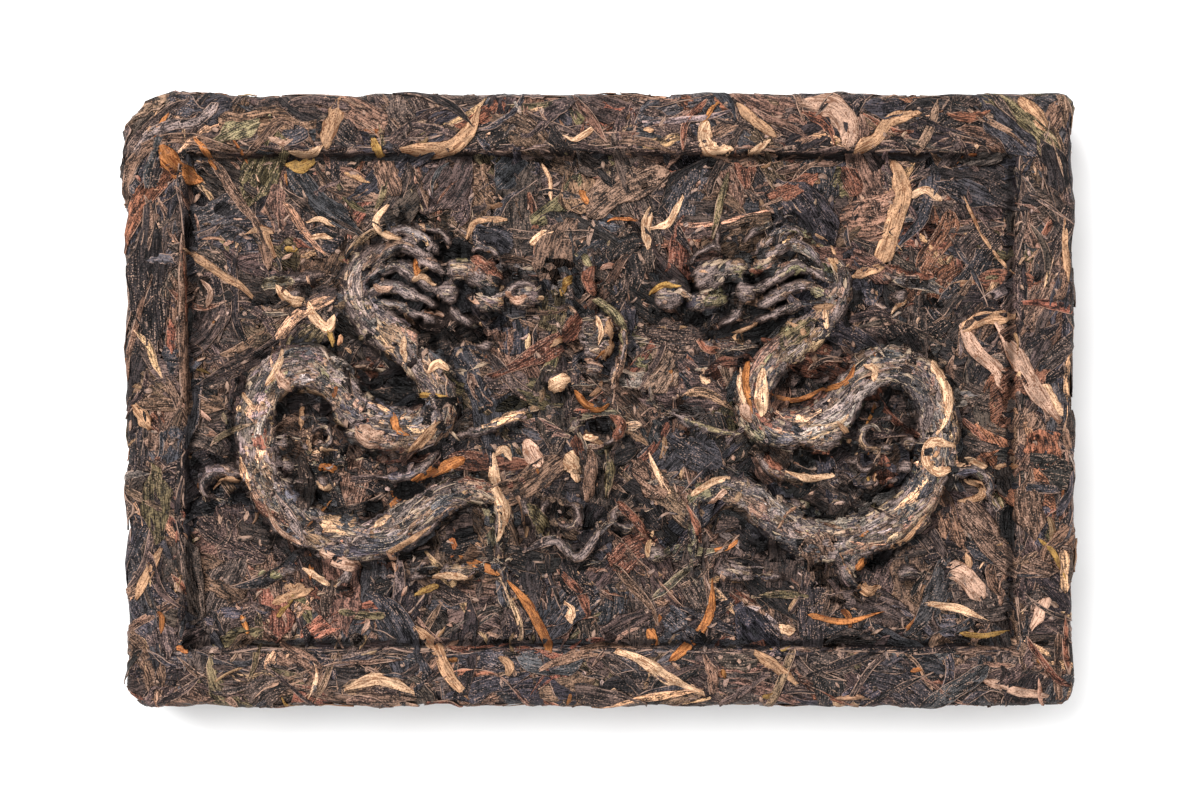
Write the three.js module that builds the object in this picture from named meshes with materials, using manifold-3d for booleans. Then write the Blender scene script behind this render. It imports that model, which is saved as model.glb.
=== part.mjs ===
// A brick of pressed pu-erh tea, lying on its back with the moulded face up: a raised rim round a sunken
// panel, and in the panel two dragons that face each other across a flaming pearl. Whole leaves and stems
// lie pressed into the rim, the panel and the walls. Millimetres, +Z up, origin under the brick's middle.
import * as THREE from "three";
import { mergeVertices } from "three/addons/utils/BufferGeometryUtils.js";
import Module from "manifold-3d";

// The pressed block.
const LENGTH = 240;
const WIDTH = 155;
const HEIGHT = 28;
const EDGE_ROUND = 2.4; // worn edge between the rim and the walls
const FOOT_ROUND = 1.4; // worn edge round the flat underside
const RIM_WIDTH = 14; // flat top of the rim, measured from the outline
const RIM_SLOPE = 1.8; // how far the rim's inner wall leans in
const PANEL_DEPTH = 4.6;
const PANEL_Z = HEIGHT - PANEL_DEPTH;
const INNER_CORNER = 1.6;
// Corner radii, anticlockwise from the corner at +X +Y. The second one is crushed.
const CORNER_RADII = [4, 12, 6.5, 3.5];
const EDGE_STEP = 13; // spacing of the outline's points along a straight edge
const CORNER_STEPS = 3;
const WOBBLE = 0.45; // how far the outline strays from straight

// The relief stands on the panel. Its mirror line lies a little left of the brick's middle.
const MIRROR_X = -0.9;
const BURIED = 1; // how far below the panel a strand's middle line lies

// One dragon, as [distance from the mirror line, height up the panel, half width of the body there], from the
// nape to the hind foot.
const SPINE = [
  [54, 39.6, 2.4], [60, 35.2, 4], [61.6, 28.6, 4.8], [58, 21.6, 5.9], [51.3, 15.8, 6.4], [44.2, 9.2, 6.4],
  [40.6, 2, 5.8], [42, -5, 5.8], [50.6, -7.6, 6.4], [59.4, -3.6, 6.2], [65.6, 3.4, 6], [72, 8, 6.3],
  [79.6, 7, 6.2], [85.2, 0.4, 5.9], [86.8, -9, 5.7], [84.8, -19.4, 6], [78.4, -28.4, 6.7], [68, -34.4, 6.8],
  [55, -35.2, 6.5], [46, -30.6, 6.4], [38, -25, 5.5], [30.6, -23.8, 4.7], [25.2, -27.6, 3.5], [25, -35, 2.9],
  [24.6, -42, 2.4],
];
const WIDEST = 6.6;
const BODY_RISE = 6; // from the middle line to the crest of the back, where the body is widest

// The rounded masses, as [distance, height, half length, half width, rise, turn].
const LUMPS = [
  [35.3, 33.2, 3.6, 3.2, 6, 0], // crown
  [29, 32, 5.6, 4.5, 5.8, 0.5], // brow
  [27.6, 24.8, 6.2, 3.2, 5.4, 0.1], // muzzle
  [18.5, 25.8, 4.4, 3.4, 5.8, 0], // nose
  [37.9, 27.4, 3.2, 3.4, 6.8, 0], // cheek
  [28.2, 13.8, 3.6, 2.8, 4.8, 0.3], // chin
  [57.6, -8.4, 6.6, 5.6, 6.8, 0.2], // shoulder
  [64, -40, 5.4, 4, 5.2, -0.4], // thigh
  [51, -26.8, 3.4, 2, 3.8, -0.3], // back fin
  [79.7, -11, 2.8, 2.6, 5, 0], // clouds in the loop
  [78.4, -17, 2.9, 2.6, 5, 0],
  [74.6, -4.6, 2.2, 1.9, 4.4, 0.4],
  [75.4, -20.6, 2.2, 1.8, 4.4, 0.3],
  [73.8, -12, 1.9, 2.4, 4.6, 0],
  [69.4, -21, 3, 1.9, 4.6, 0.1],
  [35.6, -43.4, 6.6, 3, 5, -0.1], // clouds under the tail
  [45.4, -44.4, 2.8, 2.3, 4.4, 0],
  [77, 26.2, 2.8, 2.3, 4.6, 0], // cloud behind the neck
];
const JAW = [[38.6, 28], [36, 22.2], [32.1, 19.4], [29.5, 16.6]];
const BROW_RIDGE = [[23.4, 33.6], [25.7, 37.2], [30.2, 38.8], [33.4, 37]];
const LIP = [[13.2, 26.6], [16.6, 29.2], [20.6, 29.2], [24, 26.4], [29, 27.6]];
const WHISKER = [[14.4, 25], [9.4, 23.2], [6.8, 23.8], [5.6, 20.4]];
const HORN = [[35.6, 37.4], [39.4, 42.4], [44.6, 44.4], [48.6, 46.6]];
const EAR = [[32, 36], [30.6, 41], [31.4, 45.6]];

// The locks of the mane, that sweep back from the crown, each rooted below the one before.
const MANE = [
  { halfWidth: 2, rise: 5.8, points: [[39.6, 36.8], [44.4, 41.2], [49.6, 43.2], [54.2, 40.8]] },
  { halfWidth: 2.6, rise: 7, points: [[40.8, 34], [45.7, 38], [50.8, 39], [57.4, 34]] },
  { halfWidth: 1.6, rise: 6.6, points: [[38.9, 32.2], [42.4, 33.2], [47, 34.2]] },
  { halfWidth: 2.6, rise: 7, points: [[40.6, 27.6], [46.3, 31.9], [51.5, 34.4], [58.8, 30.2]] },
  { halfWidth: 2.4, rise: 6.8, points: [[40.2, 23.4], [46.3, 27], [52.1, 29.4], [58.8, 26.8]] },
  { halfWidth: 2.1, rise: 5.8, points: [[39.4, 20.2], [45, 22], [50.8, 24.8], [56, 25.8]] },
];

const FORELEG = [[38.5, -8.8], [31, -8], [24.5, -5.8], [18.5, -3.2], [14, -1]];
const BELLY_LEG = [[40, -12.5], [44, -17.2], [50.5, -19.6], [60.5, -18.8]];
const HIND_LEG = [[64, -38.5], [63.2, -44.2], [67.5, -48]];
const OUTER_LEG = [[86, -21], [91.5, -18.6], [97.5, -18.4], [100, -22.8], [95, -26.2]];
const LEG_HALF_WIDTH = 2.3;
const LEG_RISE = 5;
// Paws as [distance, height, heading of the middle claw].
const PAWS = [
  [14, -1, 2.6],
  [60.5, -18.8, 0.1],
  [67.5, -48, -0.5],
  [24.2, -41.8, 3.7],
];
const CLAW = { count: 3, spread: 1.8, length: 5.2, halfWidth: 1.1, rise: 3.8 };

// Cloud scrolls as [distance, height, radius, where the curl starts].
const SCROLLS = [
  [70, -9.2, 2.7, 0.4],
  [68.6, -15.2, 2.3, 2.2],
  [7.4, -29.4, 3.1, 1.1],
];
const SCROLL_HALF_WIDTH = 1.3;
const SCROLL_RISE = 4.4;
const CLOUD_BANKS = [
  [[73, -45.4], [79, -43.6], [84, -45.2]],
  [[67, 32.4], [75, 31], [83, 29.8], [91, 27.2]],
  [[77, 22.4], [83, 22.2], [89, 23.6]],
];
const BANK_HALF_WIDTH = 2.2;
const BANK_RISE = 4;

// How blunt the ends of each kind of strand are; lower is blunter.
const MANE_BLUNTNESS = 0.22;
const BANK_BLUNTNESS = 0.45;
const CENTRE_BLUNTNESS = 0.3;

// What stands on the mirror line, with distances measured to the right of it: the rounded masses, then the
// strands of flame and cloud.
const CENTRE_LUMPS = [
  [0, 15.8, 5.4, 6.8, 6.4, 0], // pearl
  [-9.6, 4.2, 3.6, 2.8, 5, 0.2],
  [15.4, -39, 3.6, 2.8, 4.8, 0.1],
];
const CENTRE_STRANDS = [
  { halfWidth: 1.7, rise: 4.8, points: [[-1, 26.4], [-2.4, 30.6], [-2, 34.4], [-1, 38.6]] },
  { halfWidth: 1.3, rise: 3.8, points: [[-6, 25], [-7.6, 29.6], [-9, 33.4]] },
  { halfWidth: 1.5, rise: 5.4, points: [[-1.4, 26], [3.8, 23], [6.8, 17.6], [6.6, 11.4], [4, 0.6]] },
  { halfWidth: 1.3, rise: 4.4, points: [[-6.6, 9], [-2.4, 8.2], [2.6, 7.8]] },
  { halfWidth: 1.2, rise: 4.2, points: [[-5.4, 3.2], [-3.4, -0.6], [0.4, -2], [2.6, -0.6]] },
  { halfWidth: 1.4, rise: 4.6, points: [[3, -2.4], [5.6, -4.8], [5.4, -8.6], [1.8, -11], [-2.6, -11]] },
  { halfWidth: 1.3, rise: 4.4, points: [[-2.4, -3.2], [-5, -6], [-3.8, -9.4]] },
  { halfWidth: 2, rise: 4, points: [[-1.6, -12.6], [-1.2, -18], [-2.6, -26]] },
  { halfWidth: 1.8, rise: 3.8, points: [[2.8, -12.6], [3.2, -18], [2.6, -25]] },
  { halfWidth: 1.5, rise: 4.6, points: [[-18.6, -39], [-10.6, -35.4], [-4.8, -40.2], [4, -30.8]] },
  { halfWidth: 1.4, rise: 4.4, points: [[5, -26], [10.4, -31], [12.6, -35.4]] },
  { halfWidth: 1.7, rise: 4.8, points: [[-19.5, -25], [-16.6, -29], [-14.8, -35]] },
  { halfWidth: 1.3, rise: 4.4, points: [[-12.4, -25.4], [-14, -29], [-14.8, -33]] },
];

// Leaves that stand out in the photograph: [x, y, length, width, heading in degrees, bend in degrees].
const MARKED_LEAVES = [
  [-92, 69.5, 15, 6, 12, 20], // top rim, from left to right
  [-68, 71, 10.5, 3.6, 80, 20],
  [-40, 69, 24, 4.2, 25, 40],
  [30, 66.6, 10, 3, 95, 150],
  [56, 69.5, 19, 6.5, -35, -60],
  [73, 67.5, 14, 3.8, 25, 10],
  [109.5, 72, 12, 4.6, -48, 20],
  [-107.5, 59, 13, 4.6, -38, 20], // left rim
  [-114, 33, 36, 9, 92, 0],
  [-105.4, 19, 44, 2.6, 90, 0],
  [-112, -26, 20, 8.5, 88, 0],
  [-114.4, -44, 13, 2.6, 64, 15],
  [-94, 53, 38, 3.4, -62, -16], // panel
  [-96, 32.5, 25, 2.3, -38, 10],
  [-74.5, 24, 17, 4.4, -32, -10],
  [-52.5, 12, 9, 3, -60, 60],
  [-21, -10, 8, 5, -70, 0],
  [-26, -24.5, 23, 4.2, -84, 14],
  [-43.5, -20.4, 22, 4, 34, 8],
  [75.5, 49, 28, 5, 262, 26],
  [64.4, 42.5, 10, 3, 20, 10],
  [98.5, 21, 13, 4, 15, 0],
  [98, 14.5, 14, 4, -48, 0],
  [94, -47.5, 14, 5.2, -36, 10],
  [90, -54, 16, 3, -16, 0],
  [27, -51.5, 20, 2.6, -106, -40],
  [-18.5, -52.5, 20, 2.6, -62, 10],
  [109, 7, 29, 6, -56, 12], // right rim
  [110.5, -26, 18, 8, 84, 20],
  [111, -54.5, 10, 3.6, 62, 0],
  [-42, -66.5, 22, 3.8, -52, -14], // bottom rim
  [-56, -70, 15, 3.6, -8, 20],
  [14.5, -70, 26, 5, -30, 20],
  [44.5, -68, 13, 3.6, -38, 14],
  [106, -72.6, 17, 3, -14, 20],
];

// Leaves strewn by rule over the rim, the panel and the four walls, the largest first.
const STREWN = { rim: 15, panel: 8, wallPer100: 6, longest: 26, shortest: 9, widest: 5.6, narrowest: 2.4 };
const LEAF_HALF_THICKNESS = 1.25;
const LEAF_PROUD = 1.2; // how far a leaf's crown stands above the face it is pressed into
const WALL_LEAF_PROUD = 1;
const RIM_LANE = [4, RIM_WIDTH - 3]; // how far in from the outline the rim's leaves lie
const RIM_LEAF_LONGEST = 20;
const PANEL_MARGIN = 24; // between the outline and the middle of the panel's nearest leaf
const WALL_MARGIN = { end: 6, foot: 5, top: 6 };
const FIT_ON_FLAT = 0.8; // leaves off the rim are cut to this share of their length
const SPREAD = { along: 0.618, across: 0.755 }; // shares to step by, so that no leaves pile up
const SEED = 20241;

const TEA = { color: 0x3a2c25, roughness: 0.72, metalness: 0 };

const wasm = await Module();
wasm.setup();

const lerp = THREE.MathUtils.lerp;

// The same numbers in the same order on every run.
function randomFrom(seed) {
  let state = seed;
  return (low = 0, high = 1) => {
    state = (Math.imul(state, 1664525) + 1013904223) >>> 0;
    return low + ((high - low) * state) / 4294967296;
  };
}

function solid(geometry) {
  geometry.deleteAttribute("normal");
  geometry.deleteAttribute("uv");
  const merged = mergeVertices(geometry, 1e-4);
  const vertProperties = new Float32Array(merged.attributes.position.array);
  const triVerts = new Uint32Array(merged.index.array);
  return new wasm.Manifold(new wasm.Mesh({ numProp: 3, vertProperties, triVerts }));
}

// A round-ended strand: a sphere whose poles are drawn apart along a curve. Its section is an ellipse,
// halfWidth(t) to each side in the plane and rise(t) up and down. A blunt strand keeps its full section
// close to its ends, where a low bluntness number means blunter.
function strand(points, halfWidth, rise, { sides = 8, steps = 8, bluntness = 0.45 } = {}) {
  const curve = new THREE.CatmullRomCurve3(points.map(([x, y, z]) => new THREE.Vector3(x, y, z)));
  const geometry = new THREE.SphereGeometry(1, sides, steps);
  const position = geometry.attributes.position;
  const ball = new THREE.Vector3();
  for (let i = 0; i < position.count; i++) {
    ball.fromBufferAttribute(position, i);
    const t = Math.acos(THREE.MathUtils.clamp(ball.y, -1, 1)) / Math.PI;
    const ring = Math.hypot(ball.x, ball.z);
    const taper = ring > 1e-6 ? ring ** bluntness / ring : 0;
    const tangent = curve.getTangent(t);
    const left = new THREE.Vector3(-tangent.y, tangent.x, 0).normalize();
    const at = curve.getPoint(t).addScaledVector(left, ball.x * taper * halfWidth(t));
    at.z += ball.z * taper * rise(t);
    position.setXYZ(i, at.x, at.y, at.z);
  }
  return geometry;
}

const even = (value) => () => value;
const tapering = (from, to) => (t) => lerp(from, to, t);

// ---- The block ----

// The brick's outline, drawn in by inset, as points that run anticlockwise from the +X side.
function outline(inset) {
  const halfLength = LENGTH / 2 - inset;
  const halfWidth = WIDTH / 2 - inset;
  const corners = CORNER_RADII.map((radius, i) => {
    const signX = i === 0 || i === 3 ? 1 : -1;
    const signY = i < 2 ? 1 : -1;
    const r = Math.max(radius - inset, INNER_CORNER);
    return { x: signX * (halfLength - r), y: signY * (halfWidth - r), r, from: (i * Math.PI) / 2 };
  });
  const points = [];
  corners.forEach((corner, i) => {
    for (let k = 0; k <= CORNER_STEPS; k++) {
      const angle = corner.from + (k / CORNER_STEPS) * (Math.PI / 2);
      points.push([corner.x + corner.r * Math.cos(angle), corner.y + corner.r * Math.sin(angle)]);
    }
    const next = corners[(i + 1) % 4];
    const [x0, y0] = points[points.length - 1];
    const x1 = next.x + next.r * Math.cos(next.from);
    const y1 = next.y + next.r * Math.sin(next.from);
    const span = i % 2 === 0 ? LENGTH : WIDTH;
    const count = Math.round(span / EDGE_STEP);
    for (let k = 1; k < count; k++) points.push([lerp(x0, x1, k / count), lerp(y0, y1, k / count)]);
  });
  return points;
}

// How far the outer wall strays outwards at point i of a ring, at a height.
function stray(i, z) {
  return WOBBLE * (Math.sin(i * 0.9 + z * 0.11) * 0.6 + Math.sin(i * 2.3 - z * 0.19 + 1.7) * 0.4);
}

// The block as a stack of outlines, from the underside up the walls, over the rim and down to the panel.
function block() {
  const profile = [
    [FOOT_ROUND, 0, 0],
    [0, FOOT_ROUND, 1],
    [0, HEIGHT * 0.5, 1],
    [0, HEIGHT - EDGE_ROUND, 1],
    [EDGE_ROUND * 0.3, HEIGHT - EDGE_ROUND * 0.3, 0.8],
    [EDGE_ROUND, HEIGHT, 0.4],
    [RIM_WIDTH, HEIGHT, 0],
    [RIM_WIDTH + RIM_SLOPE, PANEL_Z, 0],
  ];
  const rings = profile.map(([inset, z, share]) =>
    outline(inset).map(([x, y], i) => {
      const out = 1 + (stray(i, z) * share) / Math.hypot(x, y);
      return [x * out, y * out, z];
    }),
  );
  const count = rings[0].length;
  const vertices = [...rings.flat(), [0, 0, 0], [0, 0, PANEL_Z]];
  const underside = rings.length * count;
  const panel = underside + 1;
  const topRing = (rings.length - 1) * count;
  const faces = [];
  for (let i = 0; i < count; i++) {
    const j = (i + 1) % count;
    for (let k = 0; k + 1 < rings.length; k++) {
      const [a, b] = [k * count + i, k * count + j];
      faces.push(a, b, b + count, a, b + count, a + count);
    }
    faces.push(underside, j, i);
    faces.push(panel, topRing + i, topRing + j);
  }
  const geometry = new THREE.BufferGeometry();
  geometry.setAttribute("position", new THREE.BufferAttribute(new Float32Array(vertices.flat()), 3));
  geometry.setIndex(faces);
  return geometry;
}

// ---- The relief ----

// Turns points of the dragon's own frame into points of the brick's. side is 1 for the right-hand dragon
// and -1 for the left-hand one.
function placed(points, side = 1) {
  return points.map(([across, up]) => [MIRROR_X + side * across, up, PANEL_Z - BURIED]);
}

function bump([across, up, halfLength, halfWidth, rise, turn], side) {
  const geometry = new THREE.SphereGeometry(1, 6, 5);
  geometry.rotateX(Math.PI / 2);
  geometry.scale(halfLength, halfWidth, rise);
  geometry.rotateZ(side * turn);
  return geometry.translate(MIRROR_X + side * across, up, PANEL_Z - BURIED);
}

// The body's half width at a share of the way along it.
function bodyHalfWidth(t) {
  const place = t * (SPINE.length - 1);
  const k = Math.min(Math.floor(place), SPINE.length - 2);
  return lerp(SPINE[k][2], SPINE[k + 1][2], place - k);
}

function body(side) {
  const rise = (t) => BODY_RISE * (0.45 + (0.55 * bodyHalfWidth(t)) / WIDEST);
  return strand(placed(SPINE, side), bodyHalfWidth, rise, { sides: 8, steps: 40, bluntness: 0.2 });
}

function head(side) {
  return [
    strand(placed(JAW, side), tapering(2.4, 1.7), even(5), { sides: 6, steps: 5 }),
    strand(placed(BROW_RIDGE, side), tapering(1.2, 0.9), even(5.4), { sides: 4, steps: 5 }),
    strand(placed(LIP, side), tapering(1, 1.3), tapering(5.6, 6), { sides: 4, steps: 6 }),
    strand(placed(WHISKER, side), tapering(1.1, 0.7), even(3), { sides: 4, steps: 5 }),
    strand(placed(HORN, side), tapering(1.6, 0.9), tapering(5.6, 3.2), { sides: 5, steps: 5 }),
    strand(placed(EAR, side), tapering(1.3, 0.8), tapering(4.6, 3), { sides: 4, steps: 4 }),
  ];
}

// Strands given as rows of half width, rise and points.
function strands(rows, side, bluntness) {
  return rows.map(({ halfWidth, rise, points }) =>
    strand(placed(points, side), even(halfWidth), even(rise), { sides: 5, steps: 6, bluntness }),
  );
}

function legs(side) {
  return [FORELEG, BELLY_LEG, HIND_LEG, OUTER_LEG].map((leg) =>
    strand(placed(leg, side), tapering(LEG_HALF_WIDTH, 1.4), even(LEG_RISE), { sides: 5, steps: 6 }),
  );
}

function claws(side) {
  return PAWS.flatMap(([across, up, heading]) =>
    Array.from({ length: CLAW.count }, (_, k) => {
      const angle = heading + (k / (CLAW.count - 1) - 0.5) * CLAW.spread;
      const tip = [across + CLAW.length * Math.cos(angle), up + CLAW.length * Math.sin(angle)];
      const path = placed([[across, up], tip], side);
      return strand(path, tapering(CLAW.halfWidth, 0.6), tapering(CLAW.rise, 2), { sides: 4, steps: 4 });
    }),
  );
}

// A strand curled nearly closed, with a pit in its middle.
function curl([across, up, radius, start], side, halfWidth, rise) {
  const path = Array.from({ length: 6 }, (_, k) => {
    const angle = start + k;
    return [across + radius * Math.cos(angle), up + radius * Math.sin(angle)];
  });
  return strand(placed(path, side), even(halfWidth), even(rise), { sides: 4, steps: 7, bluntness: 0.3 });
}

function clouds(side) {
  const banks = CLOUD_BANKS.map((points) => ({ halfWidth: BANK_HALF_WIDTH, rise: BANK_RISE, points }));
  return [
    ...SCROLLS.map((scroll) => curl(scroll, side, SCROLL_HALF_WIDTH, SCROLL_RISE)),
    ...strands(banks, side, BANK_BLUNTNESS),
  ];
}

function centre() {
  return [...CENTRE_LUMPS.map((lump) => bump(lump, 1)), ...strands(CENTRE_STRANDS, 1, CENTRE_BLUNTNESS)];
}

function relief() {
  const dragons = [1, -1].flatMap((side) => [
    body(side),
    ...LUMPS.map((lump) => bump(lump, side)),
    ...head(side),
    ...strands(MANE, side, MANE_BLUNTNESS),
    ...legs(side),
    ...claws(side),
    ...clouds(side),
  ]);
  return [...dragons, ...centre()];
}

// ---- The leaves ----

// The height of the pressed face at a point, without the relief.
function faceHeight(x, y) {
  const inset = Math.min(LENGTH / 2 - Math.abs(x), WIDTH / 2 - Math.abs(y));
  const down = THREE.MathUtils.clamp((inset - RIM_WIDTH) / RIM_SLOPE, 0, 1);
  return HEIGHT - PANEL_DEPTH * down;
}

// A leaf pressed flat: a thin strand along an arc of the given bend, that follows the height under it.
function leaf([x, y, length, width, heading, bend], height, proud = LEAF_PROUD) {
  const turn = THREE.MathUtils.degToRad(heading);
  const curve = THREE.MathUtils.degToRad(bend);
  const path = [-0.5, -0.17, 0.17, 0.5].map((share) => {
    const angle = turn + curve * share * 0.5;
    const px = x + length * share * Math.cos(angle);
    const py = y + length * share * Math.sin(angle);
    return [px, py, height(px, py) + proud - LEAF_HALF_THICKNESS];
  });
  return strand(path, even(width / 2), even(LEAF_HALF_THICKNESS), { sides: 4, steps: 4, bluntness: 0.5 });
}

// The size of the k-th of count strewn leaves, the largest first.
function leafSize(k, count, random) {
  const share = k / count;
  const length = lerp(STREWN.longest, STREWN.shortest, share) * random(0.85, 1.15);
  const width = lerp(STREWN.widest, STREWN.narrowest, share) * random(0.7, 1.2);
  return [length, width];
}

// The point a share of the way round a rectangle inset from the outline, and the direction of its side.
function aroundRim(share, inset) {
  const [a, b] = [LENGTH / 2 - inset, WIDTH / 2 - inset];
  const run = share * 4 * (a + b);
  if (run < 2 * a) return [run - a, -b, 0];
  if (run < 2 * (a + b)) return [a, run - 2 * a - b, 90];
  if (run < 4 * a + 2 * b) return [3 * a + 2 * b - run, b, 0];
  return [-a, 4 * a + 3 * b - run, 90];
}

function rimLeaves(random) {
  return Array.from({ length: STREWN.rim }, (_, k) => {
    const [length, width] = leafSize(k, STREWN.rim, random);
    const [x, y, direction] = aroundRim((k * SPREAD.along) % 1, random(...RIM_LANE));
    const fit = Math.min(length, RIM_LEAF_LONGEST);
    return leaf([x, y, fit, width, direction + random(-38, 38), random(-30, 30)], () => HEIGHT);
  });
}

function panelLeaves(random) {
  const [halfLength, halfWidth] = [LENGTH / 2 - PANEL_MARGIN, WIDTH / 2 - PANEL_MARGIN];
  return Array.from({ length: STREWN.panel }, (_, k) => {
    const [length, width] = leafSize(k, STREWN.panel, random);
    const x = lerp(-halfLength, halfLength, (k * SPREAD.along) % 1);
    const y = lerp(-halfWidth, halfWidth, (k * SPREAD.across) % 1);
    return leaf([x, y, length * FIT_ON_FLAT, width, random(0, 180), random(-40, 40)], () => PANEL_Z);
  });
}

// Leaves on a wall are laid flat first, then stood up against it. turn is where the wall faces.
function wallLeaves(span, reach, turn, random) {
  const count = Math.round((STREWN.wallPer100 * span) / 100);
  return Array.from({ length: count }, (_, k) => {
    const [length, width] = leafSize(k, count, random);
    const fit = length * FIT_ON_FLAT;
    const along = lerp(-0.5, 0.5, (k * SPREAD.along) % 1) * (span - fit - 2 * WALL_MARGIN.end);
    const up = lerp(WALL_MARGIN.foot, HEIGHT - WALL_MARGIN.top, (k * SPREAD.across) % 1);
    const size = [along, up, fit, width, random(-22, 22), random(-16, 16)];
    const geometry = leaf(size, () => 0, WALL_LEAF_PROUD);
    geometry.rotateX(Math.PI / 2);
    geometry.rotateZ(Math.PI);
    geometry.translate(0, reach, 0);
    return geometry.rotateZ(turn);
  });
}

function leaves() {
  const random = randomFrom(SEED);
  return [
    ...MARKED_LEAVES.map((marked) => leaf(marked, faceHeight)),
    ...rimLeaves(random),
    ...panelLeaves(random),
    ...[0, Math.PI].flatMap((turn) => wallLeaves(LENGTH, WIDTH / 2, turn, random)),
    ...[-Math.PI / 2, Math.PI / 2].flatMap((turn) => wallLeaves(WIDTH, LENGTH / 2, turn, random)),
  ];
}

// ---- The whole brick, one piece ----

const joined = [...relief(), ...leaves()].map(solid).reduce((sum, piece) => sum.add(piece), solid(block()));
// Fusing can shut in a small hollow or leave a scrap, so only the outer skin of the largest body is kept.
const [brick] = joined.decompose().sort((a, b) => b.volume() - a.volume());

function asGeometry(manifold) {
  const mesh = manifold.getMesh();
  const geometry = new THREE.BufferGeometry();
  geometry.setAttribute("position", new THREE.BufferAttribute(new Float32Array(mesh.vertProperties), 3));
  geometry.setIndex(new THREE.BufferAttribute(new Uint32Array(mesh.triVerts), 1));
  geometry.computeVertexNormals();
  return geometry;
}

const teaBrick = new THREE.Mesh(asGeometry(brick), new THREE.MeshStandardMaterial(TEA));
teaBrick.name = "tea_brick";

const group = new THREE.Group();
group.add(teaBrick);

export default group;
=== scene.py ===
"""A brick of pressed pu-erh tea, seen from straight above: a raised rim round a sunken panel, and in the
panel two dragons that face each other across a flaming pearl. A plain core has the moulded form, and
thousands of leaves, stems, tips and crumbs lie pressed into it. Sizes are in millimetres until the meshes
are made.
"""

import math

import bpy
import numpy as np
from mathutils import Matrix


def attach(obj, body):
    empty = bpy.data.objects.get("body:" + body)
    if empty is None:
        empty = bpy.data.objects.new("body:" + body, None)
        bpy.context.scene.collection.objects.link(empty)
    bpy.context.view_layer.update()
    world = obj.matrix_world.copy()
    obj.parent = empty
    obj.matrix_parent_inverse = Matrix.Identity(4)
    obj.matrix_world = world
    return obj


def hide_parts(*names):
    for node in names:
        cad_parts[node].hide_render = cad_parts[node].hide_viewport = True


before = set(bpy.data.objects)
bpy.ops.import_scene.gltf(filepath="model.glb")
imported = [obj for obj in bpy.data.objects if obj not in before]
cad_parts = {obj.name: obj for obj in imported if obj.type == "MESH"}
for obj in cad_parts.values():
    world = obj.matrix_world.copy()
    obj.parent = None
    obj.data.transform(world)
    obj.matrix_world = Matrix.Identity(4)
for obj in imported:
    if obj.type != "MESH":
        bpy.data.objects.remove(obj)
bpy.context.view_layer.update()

MM = 0.001
rng = np.random.default_rng(20241)

# ---- Sizes ----

LENGTH = 240
WIDTH = 155
HEIGHT = 28
HALF_LENGTH = LENGTH / 2
HALF_WIDTH = WIDTH / 2
EDGE_ROUND = 2.4
FOOT_ROUND = 1.4
RIM_WIDTH = 14
RIM_SLOPE = 1.8  # how far the rim's inner wall leans in
PANEL_DEPTH = 4.6
PANEL_Z = HEIGHT - PANEL_DEPTH
INNER_CORNER = 1.6
CORNER_RADII = (4, 12, 6.5, 3.5)  # anticlockwise from the corner at +X +Y; the second one is crushed
SKIN = 0.6  # how far the core lies below the moulded surface, so that the leaves fill the rest
CRUSHED_X, CRUSHED_Y = -113, 69  # the middle of the crushed corner
CRUSHED_SPREAD = 260

MIRROR_X = -0.9
BURIED = 1  # how far below the panel a strand's middle line lies

# One dragon, as [distance from the mirror line, height up the panel], from the nape to the hind foot, with
# the body's half width there.
SPINE = [
    (54, 39.6, 2.4), (60, 35.2, 4), (61.6, 28.6, 4.8), (58, 21.6, 5.9), (51.3, 15.8, 6.4),
    (44.2, 9.2, 6.4), (40.6, 2, 5.8), (42, -5, 5.8), (50.6, -7.6, 6.4), (59.4, -3.6, 6.2), (65.6, 3.4, 6),
    (72, 8, 6.3), (79.6, 7, 6.2), (85.2, 0.4, 5.9), (86.8, -9, 5.7), (84.8, -19.4, 6), (78.4, -28.4, 6.7),
    (68, -34.4, 6.8), (55, -35.2, 6.5), (46, -30.6, 6.4), (38, -25, 5.5), (30.6, -23.8, 4.7),
    (25.2, -27.6, 3.5), (25, -35, 2.9), (24.6, -42, 2.4),
]
WIDEST = 6.6
BODY_RISE = 6

# The rounded masses, as (distance, height, half length, half width, rise, turn).
LUMPS = [
    (35.3, 33.2, 3.6, 3.2, 6, 0),  # crown
    (29, 32, 5.6, 4.5, 5.8, 0.5),  # brow
    (27.6, 24.8, 6.2, 3.2, 5.4, 0.1),  # muzzle
    (18.5, 25.8, 4.4, 3.4, 5.8, 0),  # nose
    (37.9, 27.4, 3.2, 3.4, 6.8, 0),  # cheek
    (28.2, 13.8, 3.6, 2.8, 4.8, 0.3),  # chin
    (57.6, -8.4, 6.6, 5.6, 6.8, 0.2),  # shoulder
    (64, -40, 5.4, 4, 5.2, -0.4),  # thigh
    (51, -26.8, 3.4, 2, 3.8, -0.3),  # back fin
    (79.7, -11, 2.8, 2.6, 5, 0),  # clouds in the loop
    (78.4, -17, 2.9, 2.6, 5, 0),
    (74.6, -4.6, 2.2, 1.9, 4.4, 0.4),
    (75.4, -20.6, 2.2, 1.8, 4.4, 0.3),
    (73.8, -12, 1.9, 2.4, 4.6, 0),
    (69.4, -21, 3, 1.9, 4.6, 0.1),
    (64.4, -15.6, 2.2, 1.7, 4.2, 0.2),
    (80.4, -3.8, 1.8, 1.5, 4, 0),
    (35.6, -43.4, 6.6, 3, 5, -0.1),  # clouds under the tail
    (45.4, -44.4, 2.8, 2.3, 4.4, 0),
    (77, 26.2, 2.8, 2.3, 4.6, 0),  # cloud behind the neck
]
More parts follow.
